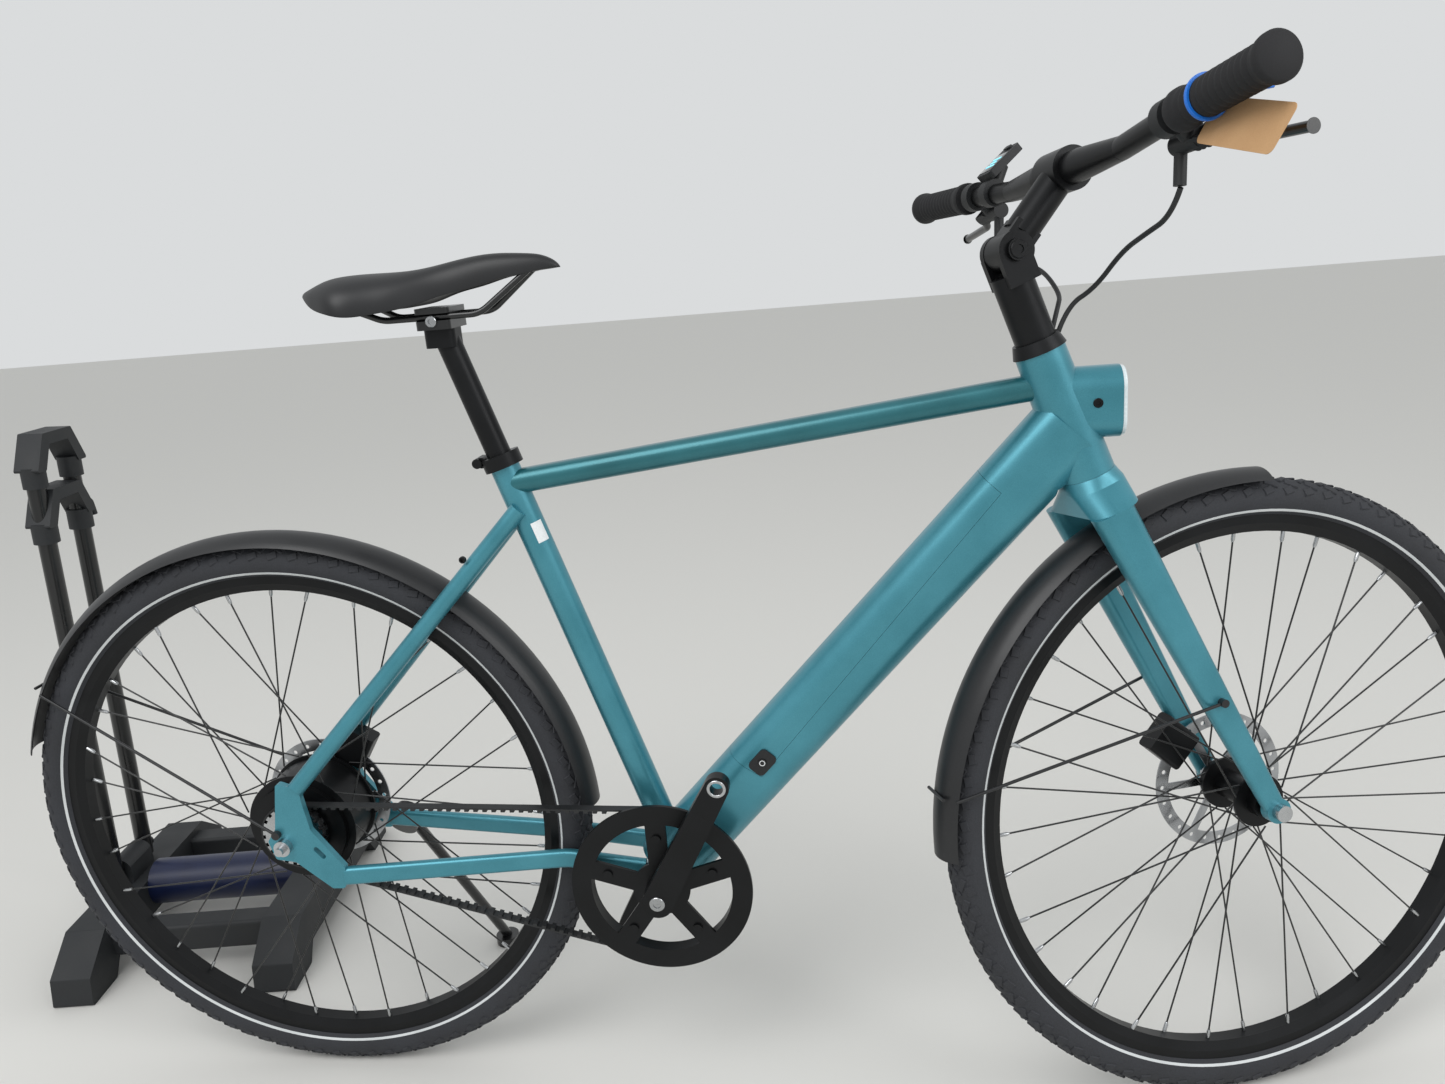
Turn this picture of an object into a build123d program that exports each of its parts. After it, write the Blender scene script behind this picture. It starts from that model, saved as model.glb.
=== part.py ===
"""A belt-drive city e-bike on its prop stand, with a folding wheel stand behind it.

Millimetres.  +X is forwards, +Y is the bike's left, +Z is up and the floor is Z = 0.
Everything is drawn with the rear axle above X = 0 and the bike's middle plane at Y = 0.
Each finished piece is then moved so that the origin lies under the middle of the whole set.
Pieces that turn with the fork are drawn straight ahead and swung about the steering axis.
"""
import os
from math import atan2, cos, degrees, radians, sin, sqrt

from build123d import *

os.makedirs("parts", exist_ok=True)

# ---------------------------------------------------------------- where the set stands
home_x = -440.9                 # moves the middle of the set's length to X = 0
home_y = -137.6                 # moves the middle of the set's width to Y = 0

# ---------------------------------------------------------------- fits
run = 0.05                      # radial clearance of a shaft in its hole
gap = 0.3                       # between faces that move past each other

# ---------------------------------------------------------------- wheels
wheel_r = 356.0
wheelbase = 1111.0
tyre_w = 45.0
tyre_wall = 3.0
rim_edge_r = 317.0
rim_inner_r = 298.0
rim_w = 26.0
rim_wall = 2.5
spoke_count = 36
spoke_r = 1.0
spoke_lean = 42.0               # degrees between a spoke's two ends, seen from the side
spoke_rim_y = 3.0
flange_y = 28.0
flange_t = 3.0
front_flange_r = 30.0
rear_flange_r = 68.0
axle_r = 6.0
disc_r = 80.0
disc_band = 15.0
disc_t = 1.8
front_disc_y = 41.0
rear_disc_y = 46.0
disc_bore_r = 16.0

# ---------------------------------------------------------------- steering and fork
head_angle = 70.2
rake = 37.0
steer_rest = 19.5               # the bars are turned this far to the left
head_low = 418.0                # distances up the steering axis, from level with the axle
head_length = 139.0
head_r = 27.0
head_bore_r = 17.0
bearing_h = 8.0
steerer_r = 14.3
cap_h = 13.0
crown_h = 34.0
crown_w = 118.0
crown_depth = 50.0
crown_swing_r = 40.0            # the fork crown's corners sweep inside this
blade_top = (26.0, 46.0)
blade_foot = (12.0, 24.0)
blade_top_place = (-12.0, 46.0)
blade_foot_y = 56.0
blade_foot_up = 4.0
front_drop_y = 50.0
front_drop_r = 14.0
front_drop_t = 12.0

# ---------------------------------------------------------------- stem and handlebar
pivot_up = 662.0                # stem pivot, up the steering axis
pivot_forward = 5.0
ear_r = 19.0
ear_t = 8.0
tongue_half = 14.0
stem_arm_length = 98.0
stem_arm_angle = 49.6
stem_arm_r = 17.0
stem_pin_r = 5.0
bar_centre_r = 15.9
bar_r = 11.1
bar_half = 328.0
bar_rise = 17.0
bar_sweep = 12.0
bar_straight = 110.0
bar_bend = 200.0
clamp_w = 44.0
grip_r = 16.5
grip_end_r = 19.0
grip_inner = 207.0
tag_length = 108.0
tag_height = 38.0
tag_facing = (0.9, 0.02, -0.42)  # square to the tag, which hangs between the grip and the lever
tag_along = (-0.04, -0.95, -0.31)
tag_t = 0.6

# ---------------------------------------------------------------- brake levers
lever_y = 190.0
lever_drop_angle = 43.5         # the levers point this far below level
lever_reach = 62.0
lever_length = 92.0
lever_pin_r = 2.5
lever_boss_r = 7.0

# ---------------------------------------------------------------- frame
bb_x = 445.0
bb_z = 282.0
bb_r = 26.0
bb_half = 34.0
bb_bore_r = 19.0
spindle_r = 12.0
seat_angle = 73.0
seat_tube_r = 16.5
seat_tube_top_z = 782.0
seat_axis_x = 304.0             # the seat tube's axis at seat_axis_z
seat_axis_z = 796.0
top_tube_w = 32.0
top_tube_h = 27.0
top_tube_back_z = 764.0
top_tube_front_z = 833.0
down_w = 58.0
down_h = 78.0
down_round = 26.0
down_wall = 3.0
down_head_z = 788.0             # where the down tube's axis meets the steering axis
stay_r = 10.0
stay_top_z = 736.0
stay_top_y = 14.0
stay_foot = (18.0, 420.0)
chain_w = 12.0
chain_h = 23.0
chain_slim_y = 31.5
drop_y = 66.0
drop_t = 8.0
bridge_x = 243.0
bridge_r = 5.0

# ---------------------------------------------------------------- battery in the down tube
cover_low = 178.0               # along the down tube, from the bottom bracket
cover_high = 597.0
cover_lead = 14.0               # the cover's lower end leans back this far, so that it swings clear
seam_low = -5.0                 # seam height above the tube's axis, at each end
seam_high = 12.0
pack_end = 6.0                  # the pack stops this far short of the cover's two ends
pack_floor = -22.0              # the pack's underside, from the tube's axis
plate_length = 30.0
plate_w = 22.0
plate_t = 2.0
button_r = 5.0

# ---------------------------------------------------------------- headlight
lamp_face_x = 966.0
lamp_z = 812.0
lamp_w = 46.0
lamp_h = 74.0
lamp_round = 21.0
lens_t = 4.0

# ---------------------------------------------------------------- seat
post_r = 13.6
post_length = 300.0
post_head_z = 938.0
clamp_ring_h = 15.0
clamp_ring_r = 22.0
rail_r = 3.5
rail_y = 22.0
rail_z = 951.0
saddle_w = 156.0

# ---------------------------------------------------------------- mudguards
guard_r = 368.0
guard_half = 28.0
guard_drop = 13.0
guard_t = 2.0
guard_wire_r = 1.8

# ---------------------------------------------------------------- belt drive
belt_y = -47.0
belt_w = 10.5
belt_pitch = 11.0
ring_teeth = 55
sprocket_teeth = 22
tooth_w = 12.0
tooth_depth = 3.0
tooth_gap_w = 4.8
belt_t = 2.0
belt_clear = 0.6
guard_ring_r = 107.0
guard_ring_t = 4.0
spider_bolt_r = 65.0
crank_length = 165.0
crank_angle = 60.8
crank_t = 14.0
crank_in_y = 74.0
crank_boss_r = 18.0
crank_end_r = 14.0
pedal_r = 7.14

# ---------------------------------------------------------------- prop stand
prop_pivot = (78.0, 92.0, 302.0)
prop_foot = (130.0, 235.0)
prop_foot_r = 17.0
prop_foot_h = 14.0
prop_leg_r = 7.0
prop_stowed = (-0.985, 0.17, 0.03)
prop_head_r = 19.0
prop_pin_r = 6.0

# ---------------------------------------------------------------- wheel stand
stand_x = -362.0
stand_y = 322.0
stand_turn = 6.5
stand_length = 450.0
stand_arm_x = 150.0
stand_arm_w = 60.0
stand_h = 85.0
stand_beam_y = 130.0
stand_beam_t = 40.0
drum_r = 36.0
hoop_half = 45.0
hoop_tube_r = 12.5
hoop_wall = 1.8
hoop_length = 660.0
hoop_lean = 3.0
hoop_pivot_x = -160.0
hoop_pivot_z = 108.0
hoop_pin_r = 5.0
stand_hub_r = 19.0
arch_depth = 36.0
arch_rise = 36.0
arch_t = 17.0
clamp_drop = 82.0               # the sliding clamp's place below the handle

# ================================================================ frames of reference
rear_axle = Vector(0, 0, wheel_r)
front_axle = Vector(wheelbase, 0, wheel_r)
bottom_bracket = Vector(bb_x, 0, bb_z)

steer_up = Vector(-cos(radians(head_angle)), 0, sin(radians(head_angle)))
steer_forward = Vector(sin(radians(head_angle)), 0, cos(radians(head_angle)))
steer_foot = front_axle - steer_forward * rake
steering_axis = Axis(steer_foot, steer_up)

seat_up = Vector(-cos(radians(seat_angle)), 0, sin(radians(seat_angle)))


def on_seat_axis(z):
    """The point of the seat tube's axis at height z."""
    return Vector(seat_axis_x, 0, seat_axis_z) + seat_up * ((z - seat_axis_z) / seat_up.Z)


def on_steer_axis(up, forward=0, left=0):
    """A point given by its distance up the steering axis, and forwards and left of it."""
    return steer_foot + steer_up * up + steer_forward * forward + Vector(0, left, 0)


def head_plane(up):
    """Square to the steering axis; local x forwards, local y left."""
    return Plane(origin=on_steer_axis(up), x_dir=steer_forward, z_dir=steer_up)


def side_plane(y):
    """Facing the bike's right side at this Y; local x forwards, local y up."""
    return Plane(origin=(0, y, 0), x_dir=(1, 0, 0), z_dir=(0, -1, 0))


def write(label, *builders, steered=False, on_stand=False):
    """Move a finished sub-part to its place in the set and save it under its own name."""
    piece = builders[0].part
    if len(builders) > 1:
        piece = Compound([builder.part for builder in builders])
    if steered:
        piece = piece.rotate(steering_axis, steer_rest)
    if on_stand:
        piece = piece.rotate(Axis.Z, stand_turn).translate((stand_x, stand_y, 0))
    piece = piece.translate((home_x, home_y, 0))
    piece.label = label
    export_step(piece, f"parts/{label}.step")


# ================================================================ shapes used again and again
def rod(start, end, radius, mode=Mode.ADD):
    """A straight round bar between two points."""
    along = Vector(end) - Vector(start)
    with BuildSketch(Plane(origin=start, z_dir=along), mode=Mode.PRIVATE) as section:
        Circle(radius)
    extrude(section.sketch, amount=along.length, mode=mode)


def bent_rod(points, bends, radius, mode=Mode.ADD):
    """A round bar along straight runs that are joined by arcs."""
    with BuildLine(mode=Mode.PRIVATE) as path:
        FilletPolyline(*points, radius=bends)
    start = Plane(origin=points[0], z_dir=Vector(points[1]) - Vector(points[0]))
    with BuildSketch(start, mode=Mode.PRIVATE) as section:
        Circle(radius)
    sweep(section.sketch, path=path.line, mode=mode)


def turned(centre, steps, bore=0.0):
    """A round piece about a line across the bike: steps of (from y, to y, radius)."""
    with BuildPart() as piece:
        with BuildSketch(Plane(origin=centre, x_dir=(0, 1, 0), z_dir=(1, 0, 0))):
            for low, high, radius in steps:
                with Locations(((low + high) / 2, (bore + radius) / 2)):
                    Rectangle(high - low, radius - bore)
        revolve(axis=Axis(centre, (0, 1, 0)))
    return piece


def tyre(axle):
    """An open-bottomed ring that sits on the rim's two edges."""
    ring_r = wheel_r - tyre_w / 2
    with BuildPart() as piece:
        with BuildSketch(Plane(origin=axle, x_dir=(0, 1, 0), z_dir=(1, 0, 0))):
            with Locations((0, ring_r)):
                Circle(tyre_w / 2)
                Circle(tyre_w / 2 - tyre_wall, mode=Mode.SUBTRACT)
            with Locations((0, rim_edge_r - tyre_w / 2)):
                Rectangle(tyre_w, tyre_w, mode=Mode.SUBTRACT)
        revolve(axis=Axis(axle, (0, 1, 0)))
    return piece


def rim(axle):
    """A channel that opens towards the tyre."""
    shoulder = (rim_edge_r + rim_inner_r) / 2
    floor_half = rim_w / 2 - 5
    with BuildPart() as piece:
        with BuildSketch(Plane(origin=axle, x_dir=(0, 1, 0), z_dir=(1, 0, 0))):
            with BuildLine():
                Polyline((-rim_w / 2, rim_edge_r), (-rim_w / 2, shoulder), (-floor_half, rim_inner_r),
                         (floor_half, rim_inner_r), (rim_w / 2, shoulder), (rim_w / 2, rim_edge_r),
                         close=True)
            make_face()
            offset(amount=-rim_wall, mode=Mode.SUBTRACT)
            with Locations((0, rim_edge_r)):
                Rectangle(rim_w - 2 * rim_wall, 4 * rim_wall, mode=Mode.SUBTRACT)
        revolve(axis=Axis(axle, (0, 1, 0)))
    return piece


def spokes(axle, flange_r):
    """Spokes to both flanges in turn, leaning forwards and backwards by pairs."""
    hub_r = flange_r + 1.0
    with BuildPart() as piece:
        for index in range(spoke_count):
            side = 1 if index % 2 else -1
            lean = spoke_lean if index % 4 < 2 else -spoke_lean
            at_rim = radians(index * 360 / spoke_count)
            at_hub = at_rim + radians(lean)
            weave = flange_t if lean > 0 else 0
            start = axle + Vector(hub_r * cos(at_hub), side * (flange_y + weave), hub_r * sin(at_hub))
            rim_r = rim_inner_r - gap
            end = axle + Vector(rim_r * cos(at_rim), side * (spoke_rim_y + weave), rim_r * sin(at_rim))
            rod(start, end, spoke_r)
    return piece


def brake_disc(axle, inner_y):
    """A thin band on six arms, drilled all round."""
    with BuildPart() as piece:
        with BuildSketch(Plane(origin=axle + Vector(0, inner_y, 0), x_dir=(1, 0, 0), z_dir=(0, 1, 0))):
            Circle(disc_r)
            Circle(disc_r - disc_band, mode=Mode.SUBTRACT)
            with PolarLocations(disc_r / 2, 6):
                Rectangle(disc_r - disc_band / 2, 9)
            Circle(24)
            Circle(disc_bore_r, mode=Mode.SUBTRACT)
            with PolarLocations(disc_r - disc_band / 2, 24):
                Circle(2.6, mode=Mode.SUBTRACT)
        extrude(amount=disc_t)
    return piece


def guard_arc(axle, first, last):
    """A crowned mudguard between two angles, counted up from straight ahead."""
    start = radians(first)
    outwards = Vector(cos(start), 0, sin(start))
    edge_r = guard_r - guard_drop
    plane = Plane(origin=axle, x_dir=(0, 1, 0), z_dir=Vector(sin(start), 0, -cos(start)))
    with BuildSketch(plane, mode=Mode.PRIVATE) as section:
        with BuildLine():
            ThreePointArc((-guard_half, edge_r), (0, guard_r), (guard_half, edge_r))
            ThreePointArc((-guard_half + guard_t, edge_r), (0, guard_r - guard_t),
                          (guard_half - guard_t, edge_r))
            Line((-guard_half, edge_r), (-guard_half + guard_t, edge_r))
            Line((guard_half, edge_r), (guard_half - guard_t, edge_r))
        make_face()
    revolve(section.sketch, axis=Axis(axle, (0, -1, 0)), revolution_arc=last - first)
    return outwards


def around(axle, radius, angle, y=0.0):
    """A point beside a wheel, by its radius and its angle up from straight ahead."""
    return axle + Vector(radius * cos(radians(angle)), y, radius * sin(radians(angle)))


# ================================================================ frame
with BuildPart() as head_tube:
    with BuildSketch(head_plane(head_low + gap)):
        Circle(head_r + 2)
    with BuildSketch(head_plane(head_low + head_length)):
        Circle(head_r - 1)
    loft()
    with BuildSketch(Plane(origin=(lamp_face_x, 0, lamp_z), x_dir=(0, 1, 0), z_dir=(-1, 0, 0))):
        RectangleRounded(lamp_w, lamp_h, lamp_round)
    extrude(amount=lamp_face_x - on_steer_axis((lamp_z - steer_foot.Z) / steer_up.Z).X)
    with BuildSketch(head_plane(head_low)):
        Circle(head_bore_r)
    extrude(amount=head_length + gap, mode=Mode.SUBTRACT)
write("head_tube", head_tube)

lens_plane = Plane(origin=(lamp_face_x + gap, 0, lamp_z), x_dir=(0, 1, 0), z_dir=(1, 0, 0))
with BuildPart() as headlight_lens:
    with BuildSketch(lens_plane):
        RectangleRounded(lamp_w - 2, lamp_h - 2, lamp_round - 1)
    extrude(amount=lens_t)
    fillet(headlight_lens.faces().sort_by(Axis.X)[-1].edges(), 1.5)
write("headlight_lens", headlight_lens)

with BuildPart() as bottom_bracket_shell:
    with BuildSketch(side_plane(bb_half)):
        with Locations((bb_x, bb_z)):
            Circle(bb_r)
            Circle(bb_bore_r, mode=Mode.SUBTRACT)
    extrude(amount=2 * bb_half)
write("bottom_bracket_shell", bottom_bracket_shell)

# The down tube runs from the bottom bracket to the steering axis.
down_top = on_steer_axis((down_head_z - steer_foot.Z) / steer_up.Z)
down_along = (down_top - bottom_bracket).normalized()
down_length = (down_top - bottom_bracket).length
down_out = Vector(-down_along.Z, 0, down_along.X)


def on_down_tube(along, out=0.0, y=0.0):
    """A point by its distance along the down tube and out from its axis, up and back."""
    return bottom_bracket + down_along * along + down_out * out + Vector(0, y, 0)


def down_side(y):
    """Side view of the down tube at this Y; local x along it, local y outwards."""
    return Plane(origin=on_down_tube(0, 0, y), x_dir=down_along, z_dir=(0, -1, 0))


def down_section(along):
    """Square to the down tube; local x across the bike, local y outwards."""
    return Plane(origin=on_down_tube(along), x_dir=(0, 1, 0), z_dir=down_along)


def cut_by_shell_and_head():
    """Mitre a frame tube against the bottom bracket shell and the head tube."""
    with BuildSketch(side_plane(bb_half), mode=Mode.PRIVATE) as shell_end:
        with Locations((bb_x, bb_z)):
            Circle(bb_r)
    extrude(shell_end.sketch, amount=2 * bb_half, mode=Mode.SUBTRACT)
    with BuildSketch(head_plane(head_low + gap), mode=Mode.PRIVATE) as head_foot:
        Circle(head_r + 2)
    with BuildSketch(head_plane(head_low + head_length), mode=Mode.PRIVATE) as head_end:
        Circle(head_r - 1)
    loft([head_foot.sketch, head_end.sketch], mode=Mode.SUBTRACT)


def cover_outline(clearance):
    """The removable cover's side view, grown by a clearance."""
    with BuildLine(mode=Mode.PRIVATE) as outline:
        Polyline((cover_low - clearance, seam_low - clearance),
                 (cover_high + clearance, seam_high - clearance),
                 (cover_high + clearance, down_h), (cover_low - clearance - cover_lead, down_h), close=True)
    make_face(outline.edges())


hollow_start = bb_r + 20.0
hollow_end = cover_high + 12.0
with BuildPart() as down_tube:
    with BuildSketch(down_section(0)):
        RectangleRounded(down_w, down_h, down_round)
    extrude(amount=down_length)
    with BuildSketch(down_section(hollow_start)):
        RectangleRounded(down_w - 2 * down_wall, down_h - 2 * down_wall, down_round - down_wall)
    extrude(amount=hollow_end - hollow_start, mode=Mode.SUBTRACT)
    with BuildSketch(down_side(down_w)):
        cover_outline(gap)
    extrude(amount=2 * down_w, mode=Mode.SUBTRACT)
    cut_by_shell_and_head()
    rod(on_steer_axis(head_low - crown_h), on_steer_axis(head_low + gap), crown_swing_r, mode=Mode.SUBTRACT)
write("down_tube", down_tube)

with BuildPart() as battery_cover:
    with BuildSketch(down_section(hollow_start)):
        RectangleRounded(down_w, down_h, down_round)
        RectangleRounded(down_w - 2 * down_wall, down_h - 2 * down_wall, down_round - down_wall,
                         mode=Mode.SUBTRACT)
    extrude(amount=hollow_end - hollow_start)
    with BuildSketch(down_side(down_w)):
        cover_outline(0)
    extrude(amount=2 * down_w, mode=Mode.INTERSECT)
write("battery_cover", battery_cover)

pack_side = down_wall + gap
with BuildPart() as battery_pack:
    with BuildSketch(down_section(cover_low + pack_end)):
        RectangleRounded(down_w - 2 * pack_side, down_h - 2 * pack_side, down_round - pack_side)
        with Locations((0, pack_floor - down_h)):
            Rectangle(down_w, 2 * down_h, mode=Mode.SUBTRACT)
    extrude(amount=cover_high - cover_low - 2 * pack_end)
write("battery_pack", battery_pack)

# A latch plate with the power button lies over the cover's lower right corner.
plate_y = -down_w / 2 - gap
plate_at = (cover_low + plate_length / 2, seam_low + plate_w / 2)
with BuildPart() as latch_plate:
    with BuildSketch(down_side(plate_y)):
        with Locations(plate_at):
            RectangleRounded(plate_length, plate_w, 6)
            Circle(button_r + gap, mode=Mode.SUBTRACT)
    extrude(amount=plate_t)
write("latch_plate", latch_plate)

with BuildPart() as power_button:
    with BuildSketch(down_side(plate_y - 1.0)):
        with Locations(plate_at):
            Circle(button_r)
    extrude(amount=plate_t)
write("power_button", power_button)

with BuildPart() as seat_tube:
    seat_foot = on_seat_axis(bb_z + 8)
    seat_top = on_seat_axis(seat_tube_top_z)
    rod(seat_foot, seat_top, seat_tube_r)
    with BuildSketch(down_section(0)):
        RectangleRounded(down_w, down_h, down_round)
    extrude(amount=down_length / 2, mode=Mode.SUBTRACT)
    cut_by_shell_and_head()
    rod(on_seat_axis(bb_z + 90), seat_top, post_r + run, mode=Mode.SUBTRACT)
write("seat_tube", seat_tube)

with BuildPart() as top_tube:
    top_back = on_seat_axis(top_tube_back_z)
    top_front = on_steer_axis((top_tube_front_z - steer_foot.Z) / steer_up.Z)
    top_along = top_front - top_back
    with BuildSketch(Plane(origin=top_back, x_dir=(0, 1, 0), z_dir=top_along)):
        RectangleRounded(top_tube_w, top_tube_h, top_tube_h / 2 - 0.5)
    extrude(amount=top_along.length)
    rod(seat_foot, seat_top + seat_up * 20, seat_tube_r, mode=Mode.SUBTRACT)
    with BuildSketch(down_section(0)):
        RectangleRounded(down_w, down_h, down_round)
    extrude(amount=down_length, mode=Mode.SUBTRACT)
    cut_by_shell_and_head()
write("top_tube", top_tube)

with BuildPart() as seat_stays:
    for side in (-1, 1):
        stay_top = on_seat_axis(stay_top_z) + Vector(0, side * stay_top_y, 0)
        rod((stay_foot[0], side * (drop_y + drop_t / 2), stay_foot[1]), stay_top, stay_r)
    bridge_z = stay_top_z - (on_seat_axis(stay_top_z).X - bridge_x) * (
        (stay_top_z - stay_foot[1]) / (on_seat_axis(stay_top_z).X - stay_foot[0]))
    rod((bridge_x, -stay_r - stay_top_y, bridge_z), (bridge_x, stay_r + stay_top_y, bridge_z), bridge_r)
    rod(seat_foot, seat_top, seat_tube_r, mode=Mode.SUBTRACT)
    with BuildSketch(side_plane(100)):
        with Locations(stay_foot):
            Circle(stay_r + 4)
    extrude(amount=200, mode=Mode.SUBTRACT)
write("seat_stays", seat_stays)

with BuildPart() as dropouts:
    for outer_y in (-drop_y, drop_y + drop_t):
        with BuildSketch(side_plane(outer_y)):
            with BuildLine():
                Polyline((4, 438), (30, 428), (36, 376), (70, 326), (66, 298), (50, 298), (10, 334),
                         (-14, 338), (-20, 362), (-8, 378), close=True)
            make_face()
            fillet(vertices(), 4)
            with Locations(stay_foot):
                Circle(stay_r + 3.5)
            with Locations((0, wheel_r)):
                Circle(axle_r, mode=Mode.SUBTRACT)
            with Locations((42, 346)):
                SlotOverall(18, 6.5, rotation=-52, mode=Mode.SUBTRACT)
        extrude(amount=drop_t)
write("dropouts", dropouts)

with BuildPart() as chain_stays:
    for side in (-1, 1):
        stay_path = [(66, side * (drop_y + drop_t / 2 - 1), 312), (330, side * chain_slim_y, 309),
                     (bb_x - bb_r + 4, side * chain_slim_y, 294)]
        with BuildLine(mode=Mode.PRIVATE) as stay_line:
            FilletPolyline(*stay_path, radius=80)
        stay_start = Plane(origin=stay_path[0], x_dir=(0, 1, 0),
                           z_dir=Vector(stay_path[1]) - Vector(stay_path[0]))
        with BuildSketch(stay_start, mode=Mode.PRIVATE) as stay_section:
            RectangleRounded(chain_w, chain_h, chain_w / 2 - 0.5)
        sweep(stay_section.sketch, path=stay_line.line)
    with BuildSketch(down_section(0)):
        RectangleRounded(down_w, down_h, down_round)
    extrude(amount=down_length / 4, mode=Mode.SUBTRACT)
    cut_by_shell_and_head()
    add(dropouts.part, mode=Mode.SUBTRACT)
    add(seat_tube.part, mode=Mode.SUBTRACT)
write("chain_stays", chain_stays)

with BuildPart() as frame_bearings:
    for low in (head_low + gap, head_low + head_length - bearing_h):
        with BuildSketch(head_plane(low)):
            Circle(head_bore_r)
            Circle(steerer_r + run, mode=Mode.SUBTRACT)
        extrude(amount=bearing_h)
    for outer_y in (bb_half, -bb_half + bearing_h):
        with BuildSketch(side_plane(outer_y)):
            with Locations((bb_x, bb_z)):
                Circle(bb_bore_r)
                Circle(spindle_r + run, mode=Mode.SUBTRACT)
        extrude(amount=bearing_h)
write("frame_bearings", frame_bearings)

with BuildPart() as seat_clamp:
    ring_low = on_seat_axis(seat_tube_top_z)
    ring_high = ring_low + seat_up * clamp_ring_h
    rod(ring_low, ring_high, clamp_ring_r)
    ear = ring_low + seat_up * (clamp_ring_h / 2) - Vector(clamp_ring_r + 3, 0, 0)
    rod(ear + Vector(0, -13, 0), ear + Vector(0, 13, 0), 5.5)
    rod(ear + Vector(4, -9, 0), ear + Vector(4, 9, 0), 6)
    rod(ring_low - seat_up, ring_high + seat_up, post_r + run, mode=Mode.SUBTRACT)
write("seat_clamp", seat_clamp)

# ================================================================ seat
post_head = on_seat_axis(post_head_z)
with BuildPart() as seatpost:
    rod(post_head - seat_up * post_length, post_head - seat_up * 8, post_r)
    rod(post_head - seat_up * (post_length + 1), post_head - seat_up * 30, post_r - 2.5, mode=Mode.SUBTRACT)
    with BuildSketch(Plane.XY.offset(post_head_z)):
        with Locations((post_head.X, 0)):
            RectangleRounded(34, 34, 8)
    extrude(amount=-20)
write("seatpost", seatpost)

clamp_low_z = rail_z - rail_r - 0.1
clamp_high_z = rail_z + rail_r + 0.1
with BuildPart() as saddle_clamp:
    for plate_z, thick in ((post_head_z, clamp_low_z - post_head_z), (clamp_high_z, 6)):
        with BuildSketch(Plane.XY.offset(plate_z)):
            with Locations((post_head.X, 0)):
                RectangleRounded(38, 2 * rail_y + 14, 6)
        extrude(amount=thick)
    with BuildSketch(Plane.XY.offset(post_head_z)):
        with Locations((post_head.X, 0)):
            Rectangle(30, 2 * rail_y - 2 * rail_r - 4)
    extrude(amount=clamp_high_z - post_head_z + 2)
write("saddle_clamp", saddle_clamp)

with BuildPart() as saddle_rails:
    for side in (-1, 1):
        bent_rod([(152, side * 34, 977), (205, side * rail_y, rail_z), (312, side * rail_y, rail_z),
                  (366, side * 9, 991)], 30, rail_r)
write("saddle_rails", saddle_rails)

with BuildPart() as saddle:
    with BuildSketch(side_plane(saddle_w / 2)):
        with BuildLine():
            over = Spline((112, 988), (150, 1003), (235, 1000), (330, 1013), (398, 1003))
            nose = Line(over @ 1, (392, 988))
            under = Spline(nose @ 1, (330, 991), (240, 982), (150, 975), (116, 972))
            Line(under @ 1, over @ 0)
        make_face()
    extrude(amount=saddle_w)
    with BuildSketch(Plane.XY.offset(950)):
        with BuildLine():
            left = Spline((110, 0), (122, 55), (165, saddle_w / 2 - 3), (215, 55), (290, 24), (385, 18), (399, 0))
            mirror(left, about=Plane.XZ)
        make_face()
    extrude(amount=80, mode=Mode.INTERSECT)
    add(saddle_rails.part, mode=Mode.SUBTRACT)
write("saddle", saddle)

# ================================================================ rear mudguard, brake and axle
with BuildPart() as rear_mudguard:
    guard_arc(rear_axle, 2, 163)
    bridge_angle = degrees(atan2(bridge_z - wheel_r, bridge_x))
    bridge_from_axle = sqrt(bridge_x ** 2 + (bridge_z - wheel_r) ** 2)
    rod(around(rear_axle, guard_r - guard_t, bridge_angle),
        around(rear_axle, bridge_from_axle - bridge_r, bridge_angle), 5)
    for side in (-1, 1):
        eyelet = Vector(-6, side * (drop_y + drop_t + 3), 372)
        tip = around(rear_axle, guard_r - guard_drop + 2, 149, side * (guard_half - 1))
        rod(tip, eyelet, guard_wire_r)
        rod(eyelet - Vector(0, side * 3, 0), eyelet + Vector(0, side * 3, 0), 5)
    rod(around(rear_axle, guard_r + 1, 149, -20), around(rear_axle, guard_r + 1, 149, 20), guard_wire_r)
    add(seat_stays.part, mode=Mode.SUBTRACT)
write("rear_mudguard", rear_mudguard)


def caliper(axle, angle, disc_y, size, reach):
    """A block over the disc's edge: size is (outwards, along, across), reach its outer radius."""
    slot = 0.8
    middle_y = disc_y + disc_t / 2
    place = Plane(origin=around(axle, reach - size[0], angle, middle_y), x_dir=(0, 1, 0),
                  z_dir=around(axle, 1, angle) - axle)
    with BuildSketch(place, mode=Mode.PRIVATE) as block:
        RectangleRounded(size[2], size[1], 5)
    extrude(block.sketch, amount=size[0])
    inner = axle + Vector(0, disc_y - slot, 0)
    with BuildSketch(Plane(origin=inner, x_dir=(1, 0, 0), z_dir=(0, 1, 0)), mode=Mode.PRIVATE) as kerf:
        Circle(disc_r + 1)
    extrude(kerf.sketch, amount=disc_t + 2 * slot, mode=Mode.SUBTRACT)


with BuildPart() as rear_caliper:
    caliper(rear_axle, 58, rear_disc_y, (44, 46, 26), 108)
    add(seat_stays.part, mode=Mode.SUBTRACT)
write("rear_caliper", rear_caliper)

rear_axle_bar = turned(rear_axle, [
    (-90, -82, 5), (-82, -drop_y - drop_t, 10), (-drop_y - drop_t, drop_y + drop_t, axle_r),
    (-drop_y, belt_y - tooth_w / 2 - gap, 9), (rear_disc_y + disc_t + gap, drop_y, 9),
    (drop_y + drop_t, 82, 10), (82, 90, 5)])
write("rear_axle", rear_axle_bar)

# ================================================================ belt drive
pitch_ring_r = ring_teeth * belt_pitch / 6.283185
pitch_sprocket_r = sprocket_teeth * belt_pitch / 6.283185


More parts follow.
